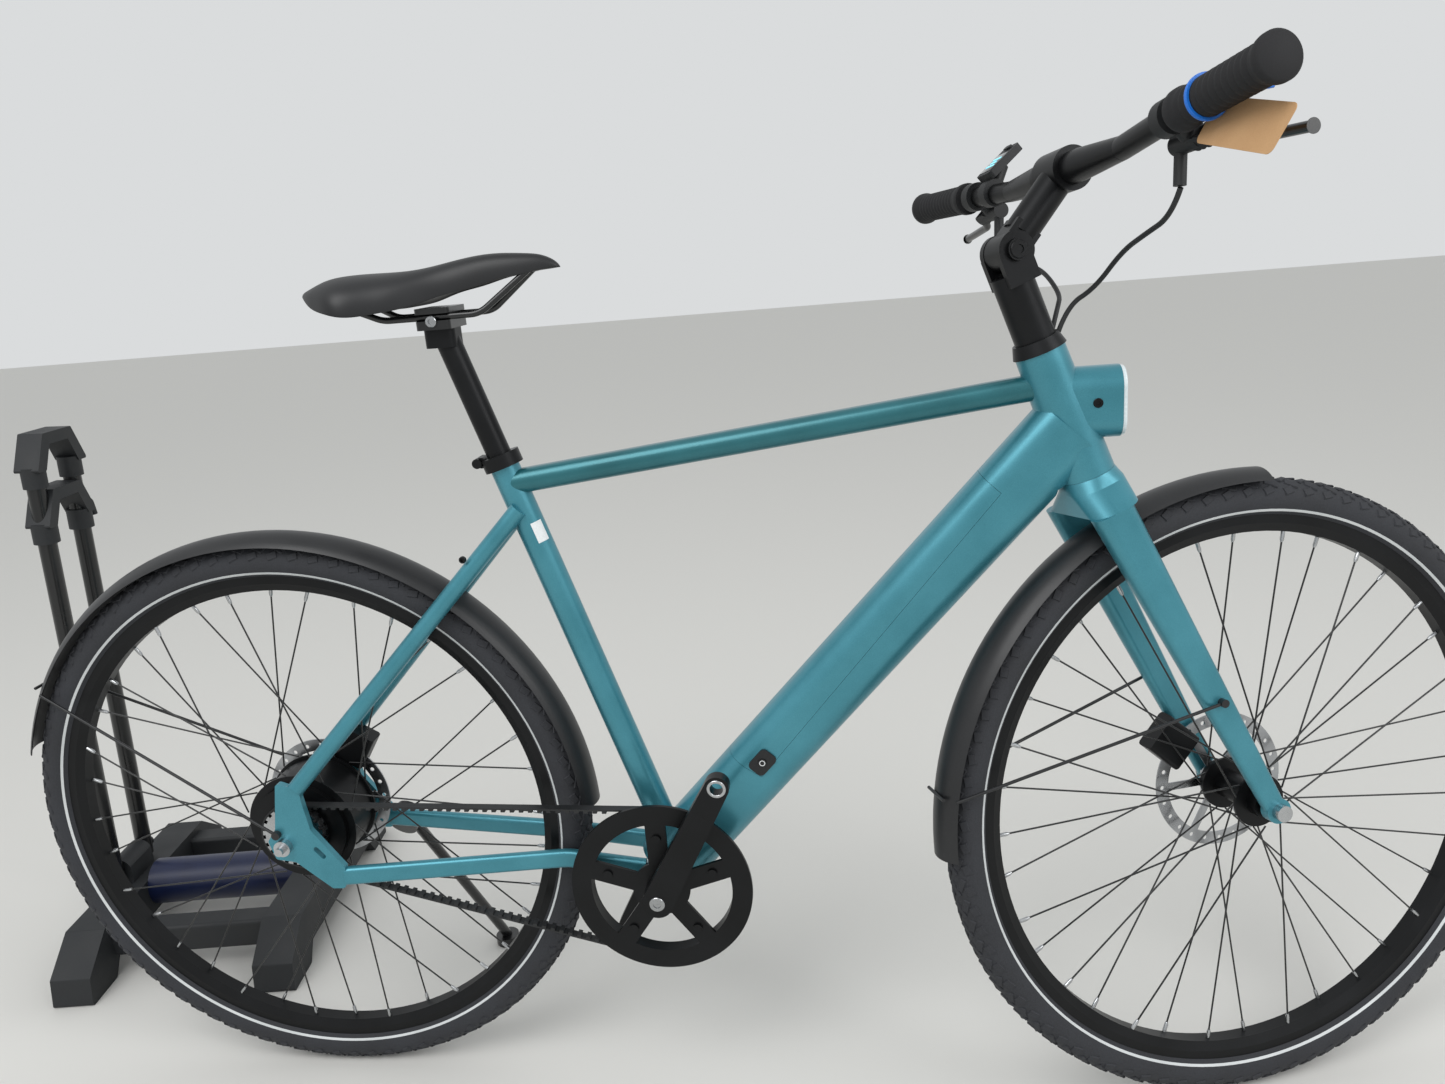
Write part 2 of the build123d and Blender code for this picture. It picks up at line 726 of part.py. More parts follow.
def toothed(centre, teeth, tip_r, inner_r):
    """Sketch a toothed ring in side view."""
    with Locations((centre.X, centre.Z)):
        Circle(tip_r)
        with PolarLocations(tip_r, teeth):
            Rectangle(2 * tooth_depth, tooth_gap_w, mode=Mode.SUBTRACT)
        Circle(inner_r, mode=Mode.SUBTRACT)


with BuildPart() as rear_sprocket:
    with BuildSketch(side_plane(belt_y + tooth_w / 2)):
        toothed(rear_axle, sprocket_teeth, pitch_sprocket_r, axle_r + run)
    extrude(amount=tooth_w)
write("rear_sprocket", rear_sprocket)

plate_in_y = belt_y - tooth_w / 2
with BuildPart() as belt_ring:
    with BuildSketch(side_plane(belt_y + tooth_w / 2)):
        toothed(bottom_bracket, ring_teeth, pitch_ring_r, pitch_ring_r - 13)
    extrude(amount=tooth_w)
    with BuildSketch(side_plane(plate_in_y)):
        with Locations((bb_x, bb_z)):
            Circle(guard_ring_r)
            Circle(pitch_ring_r - 13, mode=Mode.SUBTRACT)
            Circle(34)
            with Locations(Rotation(0, 0, 18)):
                with PolarLocations(60, 5):
                    Rectangle(58, 24)
            Circle(spindle_r, mode=Mode.SUBTRACT)
    extrude(amount=guard_ring_t)
    with BuildSketch(side_plane(plate_in_y - guard_ring_t)):
        with Locations((bb_x, bb_z)):
            with Locations(Rotation(0, 0, 18)):
                with PolarLocations(spider_bolt_r, 5):
                    Circle(5.5)
    extrude(amount=2.5)
write("belt_ring", belt_ring)


def loop_outline(grow):
    """The belt's outline round both toothed rings, grown outwards."""
    with BuildSketch(side_plane(belt_y + belt_w / 2), mode=Mode.PRIVATE) as loop:
        with Locations((rear_axle.X, rear_axle.Z)):
            Circle(pitch_sprocket_r + grow)
        with Locations((bb_x, bb_z)):
            Circle(pitch_ring_r + grow)
        make_hull()
    return loop.sketch


with BuildPart() as drive_belt:
    extrude(loop_outline(belt_clear + belt_t), amount=belt_w)
    extrude(loop_outline(belt_clear), amount=belt_w, mode=Mode.SUBTRACT)
    centre_line = bottom_bracket - rear_axle
    spread = degrees(atan2(pitch_ring_r - pitch_sprocket_r, sqrt(
        centre_line.length ** 2 - (pitch_ring_r - pitch_sprocket_r) ** 2)))
    slope = degrees(atan2(centre_line.Z, centre_line.X))
    run_length = sqrt(centre_line.length ** 2 - (pitch_ring_r - pitch_sprocket_r) ** 2)
    for side in (1, -1):
        run_angle = radians(slope + side * spread)
        along = Vector(cos(run_angle), 0, sin(run_angle))
        outward = Vector(-sin(run_angle), 0, cos(run_angle)) * side
        foot = rear_axle + outward * (pitch_sprocket_r + belt_clear - tooth_depth / 2 + 0.1)
        for index in range(3, int(run_length / belt_pitch) - 4):
            spot = foot + along * (index * belt_pitch)
            tooth_plane = Plane(origin=spot + Vector(0, belt_y + belt_w / 2, 0), x_dir=along, z_dir=(0, -1, 0))
            with BuildSketch(tooth_plane):
                Rectangle(5, tooth_depth)
            extrude(amount=belt_w)
write("drive_belt", drive_belt)

crank_tip = Vector(cos(radians(crank_angle)), 0, sin(radians(crank_angle))) * crank_length
with BuildPart() as cranks:
    for side in (-1, 1):
        pedal = bottom_bracket + crank_tip * -side
        near_y = side * crank_in_y
        with BuildSketch(Plane(origin=(0, near_y, 0), x_dir=(1, 0, 0), z_dir=(0, -1, 0))):
            with Locations((bb_x, bb_z)):
                Circle(crank_boss_r)
            with Locations((pedal.X, pedal.Z)):
                Circle(crank_end_r)
            make_hull()
            with Locations((pedal.X, pedal.Z)):
                Circle(pedal_r, mode=Mode.SUBTRACT)
        extrude(amount=-side * crank_t)
        boss_in = side * (bb_half + 4) if side > 0 else plate_in_y - guard_ring_t
        rod((bb_x, boss_in, bb_z), (bb_x, near_y, bb_z), crank_boss_r)
    rod((bb_x, plate_in_y - guard_ring_t, bb_z), (bb_x, bb_half + 4, bb_z), spindle_r)
write("cranks", cranks)

# ================================================================ rear wheel
write("rear_tyre", tyre(rear_axle))
write("rear_rim", rim(rear_axle))
write("rear_spokes", spokes(rear_axle, rear_flange_r))
write("rear_disc", brake_disc(rear_axle, rear_disc_y))
hub_motor = turned(rear_axle, [
    (belt_y + tooth_w / 2 + gap, -flange_y - 8, 36), (-flange_y - 8, -flange_y + 1, 58),
    (-flange_y - 1.5, -flange_y + 1.5, rear_flange_r), (-flange_y, flange_y, rear_flange_r - 4),
    (flange_y - 1.5, flange_y + 1.5, rear_flange_r), (flange_y, flange_y + 7, 56),
    (flange_y + 7, rear_disc_y, 25), (rear_disc_y, rear_disc_y + disc_t, disc_bore_r)], axle_r + run)
write("hub_motor", hub_motor)

# ================================================================ fork, straight ahead
with BuildPart() as fork_crown:
    with BuildSketch(head_plane(head_low)):
        Circle(head_r + 2)
    with BuildSketch(head_plane(head_low - 12)):
        RectangleRounded(crown_depth + 10, crown_w - 50, 24)
    loft()
    with BuildSketch(head_plane(head_low - 12)):
        RectangleRounded(crown_depth + 10, crown_w - 50, 24)
    with BuildSketch(head_plane(head_low - crown_h)):
        with Locations((blade_top_place[0] / 2, 0)):
            RectangleRounded(crown_depth + 4, crown_w, 22)
    loft()
    with BuildSketch(head_plane(head_low)):
        Circle(steerer_r)
    extrude(amount=pivot_up - head_low - 26)
write("fork_crown", fork_crown, steered=True)

with BuildPart() as fork_blades:
    for side in (-1, 1):
        with BuildSketch(head_plane(head_low - crown_h), mode=Mode.PRIVATE) as blade_head:
            with Locations((blade_top_place[0], side * blade_top_place[1])):
                RectangleRounded(blade_top[1], blade_top[0], 12)
        with BuildSketch(head_plane(blade_foot_up), mode=Mode.PRIVATE) as blade_end:
            with Locations((rake - 1, side * blade_foot_y)):
                RectangleRounded(blade_foot[1], blade_foot[0], 5)
        loft([blade_head.sketch, blade_end.sketch])
        inner_y = side * front_drop_y
        rod((wheelbase, inner_y, wheel_r), (wheelbase, inner_y + side * front_drop_t, wheel_r), front_drop_r)
    rod((wheelbase, -80, wheel_r), (wheelbase, 80, wheel_r), axle_r, mode=Mode.SUBTRACT)
write("fork_blades", fork_blades, steered=True)

front_axle_bar = turned(front_axle, [
    (-71, -front_drop_y - front_drop_t, 9), (-front_drop_y - front_drop_t, front_drop_y + front_drop_t, axle_r),
    (front_drop_y + front_drop_t, 71, 9)])
write("front_axle", front_axle_bar, steered=True)

with BuildPart() as front_mudguard:
    guard_arc(front_axle, 86, 182)
    tab_angle = 180 - head_angle + degrees(atan2(rake, head_low))
    rod(around(front_axle, guard_r - guard_t, tab_angle), around(front_axle, head_low - crown_h + 8, tab_angle), 6)
    for side in (-1, 1):
        bolt = on_steer_axis(147, rake - 18, side * (blade_foot_y + 9))
        edge = around(front_axle, guard_r - guard_drop + 2, 171, side * (guard_half - 1))
        rod(edge, bolt, guard_wire_r)
        rod(bolt - Vector(0, side * 9, 0), bolt + Vector(0, side * 3, 0), 4.5)
    rod(around(front_axle, guard_r + 1, 171, -20), around(front_axle, guard_r + 1, 171, 20), guard_wire_r)
    add(fork_blades.part, mode=Mode.SUBTRACT)
    add(fork_crown.part, mode=Mode.SUBTRACT)
write("front_mudguard", front_mudguard, steered=True)

with BuildPart() as front_caliper:
    caliper(front_axle, 138, front_disc_y, (46, 46, 24), 106)
    add(fork_blades.part, mode=Mode.SUBTRACT)
write("front_caliper", front_caliper, steered=True)

cap_low = head_low + head_length + gap
with BuildPart() as headset_cap:
    with BuildSketch(head_plane(cap_low)):
        Circle(head_r + 1)
    with BuildSketch(head_plane(cap_low + cap_h)):
        Circle(head_r - 3)
    loft()
    with BuildSketch(head_plane(cap_low)):
        Circle(steerer_r)
    extrude(amount=cap_h, mode=Mode.SUBTRACT)
write("headset_cap", headset_cap, steered=True)


def steer_side(left):
    """Side view that leans with the steering axis; local x forwards, local y up the axis."""
    return Plane(origin=on_steer_axis(0, 0, left), x_dir=steer_forward, z_dir=(0, -1, 0))


stem_base_low = cap_low + cap_h
stem_base_high = pivot_up - ear_r - 2
with BuildPart() as stem_base:
    with BuildSketch(head_plane(stem_base_low)):
        Circle(head_r - 6)
    extrude(amount=stem_base_high - stem_base_low)
    ear_out = tongue_half + gap + ear_t
    for outer_left in (ear_out, -tongue_half - gap):
        with BuildSketch(steer_side(outer_left)):
            with Locations((pivot_forward, pivot_up)):
                Circle(ear_r)
            with Locations((pivot_forward / 2, (stem_base_high + pivot_up) / 2 - 6)):
                Rectangle(2 * ear_r - 4, pivot_up - stem_base_high + 12)
            with Locations((pivot_forward, pivot_up)):
                Circle(stem_pin_r + run, mode=Mode.SUBTRACT)
        extrude(amount=ear_t)
    rod(on_steer_axis(stem_base_low - 1), on_steer_axis(pivot_up - 26), steerer_r, mode=Mode.SUBTRACT)
write("stem_base", stem_base, steered=True)

# ================================================================ handlebar, straight ahead
stem_pivot = on_steer_axis(pivot_up, pivot_forward)
arm_along = Vector(cos(radians(stem_arm_angle)), 0, sin(radians(stem_arm_angle)))
bar_centre = stem_pivot + arm_along * stem_arm_length
with BuildPart() as handlebar:
    rod(bar_centre - Vector(0, 38, 0), bar_centre + Vector(0, 38, 0), bar_centre_r)
    for side in (-1, 1):
        cone_start = bar_centre + Vector(0, side * 38, 0)
        cone_end = bar_centre + Vector(0, side * bar_straight, 0)
        bar_plane = Plane(origin=cone_start, z_dir=(0, side, 0))
        with BuildSketch(bar_plane, mode=Mode.PRIVATE) as thick_end:
            Circle(bar_centre_r)
        with BuildSketch(bar_plane.offset(bar_straight - 38), mode=Mode.PRIVATE) as thin_end:
            Circle(bar_r)
        loft([thick_end.sketch, thin_end.sketch])
        bend = bar_centre + Vector(-bar_sweep / 2, side * bar_bend, bar_rise / 2)
        tip = bar_centre + Vector(-bar_sweep, side * bar_half, bar_rise)
        bent_rod([cone_end, bend, tip], 120, bar_r)
write("handlebar", handlebar, steered=True)


def along_grip(side, y):
    """The bar's axis at a distance from the middle, on its last straight."""
    share = (y - bar_bend) / (bar_half - bar_bend)
    return bar_centre + Vector(-bar_sweep / 2 * (1 + share), side * y, bar_rise / 2 * (1 + share))


with BuildPart() as grips:
    for side in (-1, 1):
        inner = along_grip(side, grip_inner)
        outer = along_grip(side, bar_half + 3)
        collar = along_grip(side, bar_half - 5)
        rod(inner, outer, grip_r)
        rod(collar, outer, grip_end_r)
        rod(inner + (inner - outer) * 0.01, along_grip(side, bar_half), bar_r, mode=Mode.SUBTRACT)
write("grips", grips, steered=True)

with BuildPart() as stem_arm:
    with BuildSketch(Plane(origin=stem_pivot + Vector(0, tongue_half, 0), x_dir=arm_along, z_dir=(0, -1, 0))):
        Circle(ear_r - 0.5)
        with Locations((15, 0)):
            Rectangle(30, 2 * ear_r - 8)
    extrude(amount=2 * tongue_half)
    rod(stem_pivot + arm_along * (ear_r + 2), bar_centre, stem_arm_r)
    rod(bar_centre - Vector(0, clamp_w / 2, 0), bar_centre + Vector(0, clamp_w / 2, 0), bar_centre_r + 6)
    rod(bar_centre - Vector(0, clamp_w, 0), bar_centre + Vector(0, clamp_w, 0), bar_centre_r, mode=Mode.SUBTRACT)
    rod(stem_pivot - Vector(0, 40, 0), stem_pivot + Vector(0, 40, 0), stem_pin_r, mode=Mode.SUBTRACT)
stem_bolt = turned(stem_pivot, [
    (-ear_out - gap - 4, -ear_out - gap, 11), (-ear_out - gap, ear_out + gap, stem_pin_r),
    (ear_out + gap, ear_out + gap + 4, 9)])
write("stem_arm", stem_arm, stem_bolt, steered=True)

# A lever hangs forwards and down from the bar and swings about a pin square to both.
lever_out = Vector(cos(radians(lever_drop_angle)), 0, -sin(radians(lever_drop_angle)))
pin_dir = Vector(sin(radians(lever_drop_angle)), 0, cos(radians(lever_drop_angle)))


def lever_pin(side):
    """Where the lever's pin crosses the lever."""
    return along_grip(side, lever_y + 24) + lever_out * 30


with BuildPart() as lever_mounts:
    for side in (-1, 1):
        ring_in = along_grip(side, lever_y - 7)
        ring_out = along_grip(side, lever_y + 7)
        middle = along_grip(side, lever_y)
        pin = lever_pin(side)
        cylinder_in = middle + lever_out * 28 + Vector(0, -side * 22, 0)
        rod(ring_in, ring_out, bar_r + 5)
        rod(middle + lever_out * 14, middle + lever_out * 26, 7)
        rod(cylinder_in, pin + Vector(0, -side * 12, 0), 9)
        hose_boot = cylinder_in + Vector(-2, side * 6, -34)
        rod(cylinder_in + Vector(0, side * 6, 0), hose_boot, 5.5)
        for face in (-1, 1):
            ear_from = pin + pin_dir * (face * 5.3)
            ear_to = pin + pin_dir * (face * 8.3)
            rod(ear_from, ear_to, lever_boss_r)
            rod(ear_from + Vector(0, -side * 8, 0), ear_to + Vector(0, -side * 8, 0), lever_boss_r)
            rod(ear_from + Vector(0, -side * 14, 0), ear_to + Vector(0, -side * 14, 0), lever_boss_r)
        rod(pin - pin_dir * 8.3, pin + pin_dir * 8.3, lever_pin_r)
    add(handlebar.part, mode=Mode.SUBTRACT)
write("lever_mounts", lever_mounts, steered=True)

for side, label in ((-1, "brake_lever_right"), (1, "brake_lever_left")):
    pin = lever_pin(side)
    knuckle = pin + lever_out * 16 + Vector(0, side * 18, 0)
    blade_end = along_grip(side, lever_y + 24 + lever_length) + lever_out * lever_reach
    with BuildPart() as brake_lever:
        rod(pin - pin_dir * 5, pin + pin_dir * 5, lever_boss_r)
        bent_rod([pin, knuckle, blade_end], 12, 4.5)
        rod(blade_end, blade_end + Vector(0, side * 0.5, 0), 6)
        rod(pin - pin_dir * 12, pin + pin_dir * 12, lever_pin_r + run, mode=Mode.SUBTRACT)
    write(label, brake_lever, steered=True)

# The display stands on its own clamp just inside the left grip.
screen_out = Vector(-0.64, 0, 0.77)
display_y = 150.0
display_at = along_grip(1, display_y) + Vector(16, 6, 30)
with BuildPart() as display:
    rod(along_grip(1, display_y - 7), along_grip(1, display_y + 7), bar_r + 4)
    rod(along_grip(1, display_y), display_at, 7)
    with BuildSketch(Plane(origin=display_at, x_dir=(0, 1, 0), z_dir=screen_out)):
        RectangleRounded(34, 50, 5)
    extrude(amount=9)
    add(handlebar.part, mode=Mode.SUBTRACT)
write("display", display, steered=True)

with BuildPart() as display_button:
    with BuildSketch(Plane(origin=display_at + screen_out * (9 + gap + 0.5), x_dir=(0, 1, 0), z_dir=screen_out)):
        with Locations((0, -19)):
            RectangleRounded(14, 6, 2)
    extrude(amount=1.5)
write("display_button", display_button, steered=True)

# Hoses leave each lever's boot, cross in front of the stem and enter the headset cap.
with BuildPart() as brake_hoses:
    for side, entry_forward in ((-1, 22), (1, 22)):
        boot = along_grip(side, lever_y - 16) + lever_out * 28 + Vector(-2, 0, -34)
        entry = on_steer_axis(cap_low + cap_h / 2 + 3, entry_forward, side * 7)
        route = [boot + Vector(0, 0, -0.5), boot + Vector(0, -side * 14, -22),
                 boot + Vector(0, -side * 55, -32), Vector(boot.X + 2, side * 78, boot.Z - 42),
                 Vector(boot.X - 2, side * 34, boot.Z - 72), entry + Vector(10, side * 3, 26), entry]
        bent_rod(route, 12, 2.5)
    add(headset_cap.part, mode=Mode.SUBTRACT)
write("brake_hoses", brake_hoses, steered=True)

# A blank paper tag hangs from the right grip on a cable tie.
tie_at = along_grip(-1, 240)
tie_axis = (along_grip(-1, bar_half) - along_grip(-1, bar_bend)).normalized()
with BuildPart() as tag_tie:
    rod(tie_at, tie_at + tie_axis * 3, grip_r + 1.6)
    rod(tie_at - tie_axis, tie_at + tie_axis * 4, grip_r, mode=Mode.SUBTRACT)

tag_from = tie_at + Vector(*tag_facing).normalized() * (grip_r + 1.6)
tag_plane = Plane(origin=tag_from, x_dir=tag_along, z_dir=tag_facing)
with BuildPart() as hang_tag:
    with BuildSketch(tag_plane):
        with Locations((tag_length / 2 - 14, tag_height / 2 - 8)):
            RectangleRounded(tag_length, tag_height, 6)
    extrude(amount=tag_t)
write("hang_tag", hang_tag, tag_tie, steered=True)

# ================================================================ front wheel, straight ahead
write("front_tyre", tyre(front_axle), steered=True)
write("front_rim", rim(front_axle), steered=True)
write("front_spokes", spokes(front_axle, front_flange_r), steered=True)
write("front_disc", brake_disc(front_axle, front_disc_y), steered=True)
front_hub = turned(front_axle, [
    (-front_drop_y + gap, front_drop_y - gap, 9), (-front_drop_y + 6, front_disc_y, 16), (-flange_y - 1.5, -flange_y + 1.5, front_flange_r),
    (flange_y - 1.5, flange_y + 1.5, front_flange_r), (front_disc_y - 4, front_disc_y, 24),
    (front_disc_y, front_disc_y + disc_t, disc_bore_r)], axle_r + run)
write("front_hub", front_hub, steered=True)

# ================================================================ prop stand
prop_at = Vector(*prop_pivot)
prop_ankle = Vector(prop_foot[0], prop_foot[1], prop_foot_h)
prop_down = (prop_ankle - prop_at).normalized()
prop_axis = prop_down.cross(Vector(*prop_stowed).normalized()).normalized()
with BuildPart() as prop_bracket:
    rod(prop_at - prop_axis * 18, prop_at - prop_axis * (8 + gap), prop_head_r)
    rod(prop_at - prop_axis * 12, prop_at + prop_axis * 12, prop_pin_r)
    add(chain_stays.part, mode=Mode.SUBTRACT)
    add(dropouts.part, mode=Mode.SUBTRACT)
write("prop_bracket", prop_bracket)

with BuildPart() as prop_leg:
    with BuildSketch(Plane.XY):
        with Locations(prop_foot):
            Circle(prop_foot_r)
    extrude(amount=prop_foot_h)
    chamfer(prop_leg.edges().group_by(Axis.Z)[0], 1.5)
    rod(prop_at - prop_axis * 8, prop_at + prop_axis * 8, prop_head_r)
    rod(prop_at, prop_ankle + prop_down * 4, prop_leg_r)
    rod(prop_at - prop_axis * 20, prop_at + prop_axis * 20, prop_pin_r + run, mode=Mode.SUBTRACT)
write("prop_leg", prop_leg)

# ================================================================ wheel stand, about its own middle
with BuildPart() as stand_base:
    for arm_x in (-stand_arm_x, stand_arm_x):
        half = stand_length / 2
        with BuildSketch(Plane(origin=(arm_x - stand_arm_w / 2, 0, 0), x_dir=(0, 1, 0), z_dir=(1, 0, 0))):
            with BuildLine():
                Polyline((-half, 0), (-half + 66, 0), (-half + 86, 28), (half - 86, 28), (half - 66, 0),
                         (half, 0), (half - 8, 42), (half - 66, stand_h), (-half + 66, stand_h),
                         (-half + 8, 42), close=True)
            make_face()
            fillet(vertices(), 4)
        extrude(amount=stand_arm_w)
    for beam_y in (-stand_beam_y, stand_beam_y):
        with BuildSketch(Plane(origin=(-stand_arm_x, beam_y, 52), x_dir=(0, 1, 0), z_dir=(1, 0, 0))):
            RectangleRounded(stand_beam_t, 44, 6)
        extrude(amount=2 * stand_arm_x)
    hub_half = hoop_half - hoop_tube_r - gap
    with BuildSketch(Plane(origin=(0, hub_half, 0), x_dir=(1, 0, 0), z_dir=(0, -1, 0))):
        with Locations((hoop_pivot_x, hoop_pivot_z)):
            Circle(stand_hub_r)
        with Locations((hoop_pivot_x, (hoop_pivot_z + stand_h) / 2)):
            Rectangle(2 * stand_hub_r, hoop_pivot_z - stand_h + 10)
        with Locations((hoop_pivot_x, hoop_pivot_z)):
            Circle(hoop_pin_r, mode=Mode.SUBTRACT)
    extrude(amount=2 * hub_half)

with BuildPart() as stand_drum:
    drum_from = (-stand_arm_x + stand_arm_w / 2, 0, 66)
    drum_to = (stand_arm_x - stand_arm_w / 2, 0, 66)
    rod(drum_from, drum_to, drum_r)
write("stand_drum", stand_drum, on_stand=True)

hoop_foot = Vector(hoop_pivot_x, 0, hoop_pivot_z)
hoop_up = Vector(sin(radians(hoop_lean)), 0, cos(radians(hoop_lean)))
stand_bolts = turned(hoop_foot, [
    (-hoop_half - hoop_tube_r - gap - 4, -hoop_half - hoop_tube_r - gap, 8),
    (-hoop_half - hoop_tube_r - gap, hoop_half + hoop_tube_r + gap, hoop_pin_r),
    (hoop_half + hoop_tube_r + gap, hoop_half + hoop_tube_r + gap + 4, 8)])
write("stand_base", stand_base, stand_bolts, on_stand=True)


def arch(bottom, sleeve_r):
    """A moulded arch between the hoop's tubes, with a sleeve round each tube."""
    face = Plane(origin=hoop_foot + hoop_up * bottom, x_dir=(0, 1, 0), z_dir=hoop_up.cross(Vector(0, 1, 0)) * -1)
    with BuildSketch(face, mode=Mode.PRIVATE) as side_view:
        with BuildLine():
            Polyline((-hoop_half - arch_t, 0), (-hoop_half + 10, arch_rise + arch_t),
                     (hoop_half - 10, arch_rise + arch_t), (hoop_half + arch_t, 0),
                     (hoop_half - 4, 0), (hoop_half - 22, arch_rise), (-hoop_half + 22, arch_rise),
                     (-hoop_half + 4, 0), close=True)
        make_face()
        fillet(side_view.vertices(), 3)
    extrude(side_view.sketch, amount=arch_depth / 2, both=True)
    for side in (-1, 1):
        middle = hoop_foot + hoop_up * bottom + Vector(0, side * hoop_half, 0)
        rod(middle - hoop_up * 24, middle + hoop_up * 6, sleeve_r)


def clear_of_tubes(radius):
    """Bore a moulding for the hoop's two tubes."""
    for side in (-1, 1):
        low = hoop_foot + Vector(0, side * hoop_half, 0)
        rod(low, low + hoop_up * hoop_length, radius, mode=Mode.SUBTRACT)


with BuildPart() as stand_hoop:
    for side in (-1, 1):
        low = hoop_foot + Vector(0, side * hoop_half, 0)
        rod(low - hoop_up * 14, low + hoop_up * hoop_length, hoop_tube_r)
        rod(low + hoop_up * 30, low + hoop_up * hoop_length, hoop_tube_r - hoop_wall, mode=Mode.SUBTRACT)
    rod(hoop_foot - Vector(0, 80, 0), hoop_foot + Vector(0, 80, 0), hoop_pin_r + run, mode=Mode.SUBTRACT)
write("stand_hoop", stand_hoop, on_stand=True)

with BuildPart() as stand_handle:
    arch(hoop_length, hoop_tube_r + 4)
    clear_of_tubes(hoop_tube_r)
write("stand_handle", stand_handle, on_stand=True)

with BuildPart() as stand_clamp:
    arch(hoop_length - clamp_drop, hoop_tube_r + 5)
    hook = hoop_foot + hoop_up * (hoop_length - clamp_drop + 10) + Vector(0, hoop_half + 10, 0)
    bent_rod([hook, hook + Vector(0, 22, 2), hook + Vector(0, 26, -22)], 6, 5)
    clear_of_tubes(hoop_tube_r + run)
write("stand_clamp", stand_clamp, on_stand=True)
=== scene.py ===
# %% [markdown]
# A belt-drive city bicycle leans on its prop stand, with a folding wheel stand beside the
# rear wheel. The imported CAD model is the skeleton: tubes, wheels, levers and brackets come
# from it, already in place. Here each of them gets its finish, and the pieces whose look is
# more than a plain solid, such as the saddle, the tyres and the hoses, are modelled.

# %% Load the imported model
from math import cos, pi, radians, sin

import bpy
from mathutils import Matrix, Vector


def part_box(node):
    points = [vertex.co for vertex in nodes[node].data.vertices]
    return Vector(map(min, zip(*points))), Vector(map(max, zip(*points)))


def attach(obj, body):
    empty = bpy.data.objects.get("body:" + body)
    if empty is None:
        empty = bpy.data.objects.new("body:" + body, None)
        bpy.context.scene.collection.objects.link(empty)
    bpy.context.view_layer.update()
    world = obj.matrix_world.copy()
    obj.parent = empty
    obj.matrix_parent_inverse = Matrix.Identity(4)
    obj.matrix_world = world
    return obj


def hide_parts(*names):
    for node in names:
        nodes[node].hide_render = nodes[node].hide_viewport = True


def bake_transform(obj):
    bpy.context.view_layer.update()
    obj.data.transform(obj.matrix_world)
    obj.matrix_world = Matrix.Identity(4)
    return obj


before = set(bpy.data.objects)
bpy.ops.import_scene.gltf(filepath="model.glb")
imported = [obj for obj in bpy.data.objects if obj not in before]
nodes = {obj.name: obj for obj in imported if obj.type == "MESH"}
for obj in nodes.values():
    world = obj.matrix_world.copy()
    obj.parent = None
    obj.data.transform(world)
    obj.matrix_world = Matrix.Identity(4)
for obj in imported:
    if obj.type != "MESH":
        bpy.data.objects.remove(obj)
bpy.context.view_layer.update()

# %% [markdown]
# Two frames of reference save a lot of arithmetic. A bicycle is drawn from its rear axle, so
# bike() takes millimetres counted from there. The fork is turned to the left at rest, so
# steered() takes a place on the fork as if it pointed straight ahead, and swings it round.

# %% Places on the bicycle
MM = 0.001
rear_foot = Vector((-440.9, -137.6, 0))        # the floor below the rear axle
wheel_r = 356
wheelbase = 1111
head_angle = radians(70.2)
rake = 37
steer_rest = radians(19.5)


def bike(x, y, z):
    """A place on the bicycle, in metres."""
    return (rear_foot + Vector((x, y, z))) * MM


steer_up = Vector((-cos(head_angle), 0, sin(head_angle)))
steer_forward = Vector((sin(head_angle), 0, cos(head_angle)))
steer_foot = bike(wheelbase, 0, wheel_r) - steer_forward * rake * MM
turn_fork = (Matrix.Translation(steer_foot) @ Matrix.Rotation(steer_rest, 4, steer_up)
             @ Matrix.Translation(-steer_foot))


def steered(x, y, z):
    """A place on the fork or the bars, given straight ahead, in metres."""
    return turn_fork @ bike(x, y, z)


front_wheel_at = turn_fork @ Matrix.Translation(bike(wheelbase, 0, wheel_r))
rear_wheel_at = Matrix.Translation(bike(0, 0, wheel_r))

# %% [markdown]
# The camera stands on the bicycle's right, a little above the saddle, and looks down at it.
# Its roll is small, so its three axes are worked out from an azimuth, an elevation and a roll.

# %% Camera
look_azimuth, look_elevation, look_roll = -0.134, -0.269, -0.087
forward = Vector((sin(look_azimuth) * cos(look_elevation), cos(look_azimuth) * cos(look_elevation),
                  sin(look_elevation)))
level = Vector((cos(look_azimuth), -sin(look_azimuth), 0))
above = level.cross(forward)
right = level * cos(look_roll) + above * sin(look_roll)
up = above * cos(look_roll) - level * sin(look_roll)
camera = bpy.data.objects.new("camera", bpy.data.cameras.new("camera"))
bpy.context.scene.collection.objects.link(camera)
camera_turn = Matrix((right, up, -forward)).transposed().to_4x4()
camera.matrix_world = Matrix.Translation(bike(699.3, -1149.4, 1002)) @ camera_turn
camera.data.sensor_width = 36
camera.data.lens = 27.03
camera.data.clip_start = 0.05
bpy.context.scene.camera = camera
bpy.context.scene.view_settings.view_transform = "Standard"

# %% [markdown]
# Finishes are built from nodes. One function adds a node, sets it and links it. Another
# starts a finish: it makes the main shader and hands back the object's own coordinates,
# which are in metres, so that a pattern has a real size.

# %% Building a finish


def linear(code, alpha=1.0):
    """An sRGB hex colour as the linear values that a shader takes."""
    parts = [int(code[i:i + 2], 16) / 255 for i in (1, 3, 5)]
    return tuple(c / 12.92 if c <= 0.04045 else ((c + 0.055) / 1.055) ** 2.4 for c in parts) + (alpha,)


def add(tree, kind, inputs=None, **settings):
    """A new node with its settings, its inputs being values or other nodes' outputs."""
    node = tree.nodes.new(kind)
    for key, value in settings.items():
        setattr(node, key, value)
    for key, value in (inputs or {}).items():
        if isinstance(value, bpy.types.NodeSocket):
            tree.links.new(value, node.inputs[key])
        else:
            node.inputs[key].default_value = value
    return node


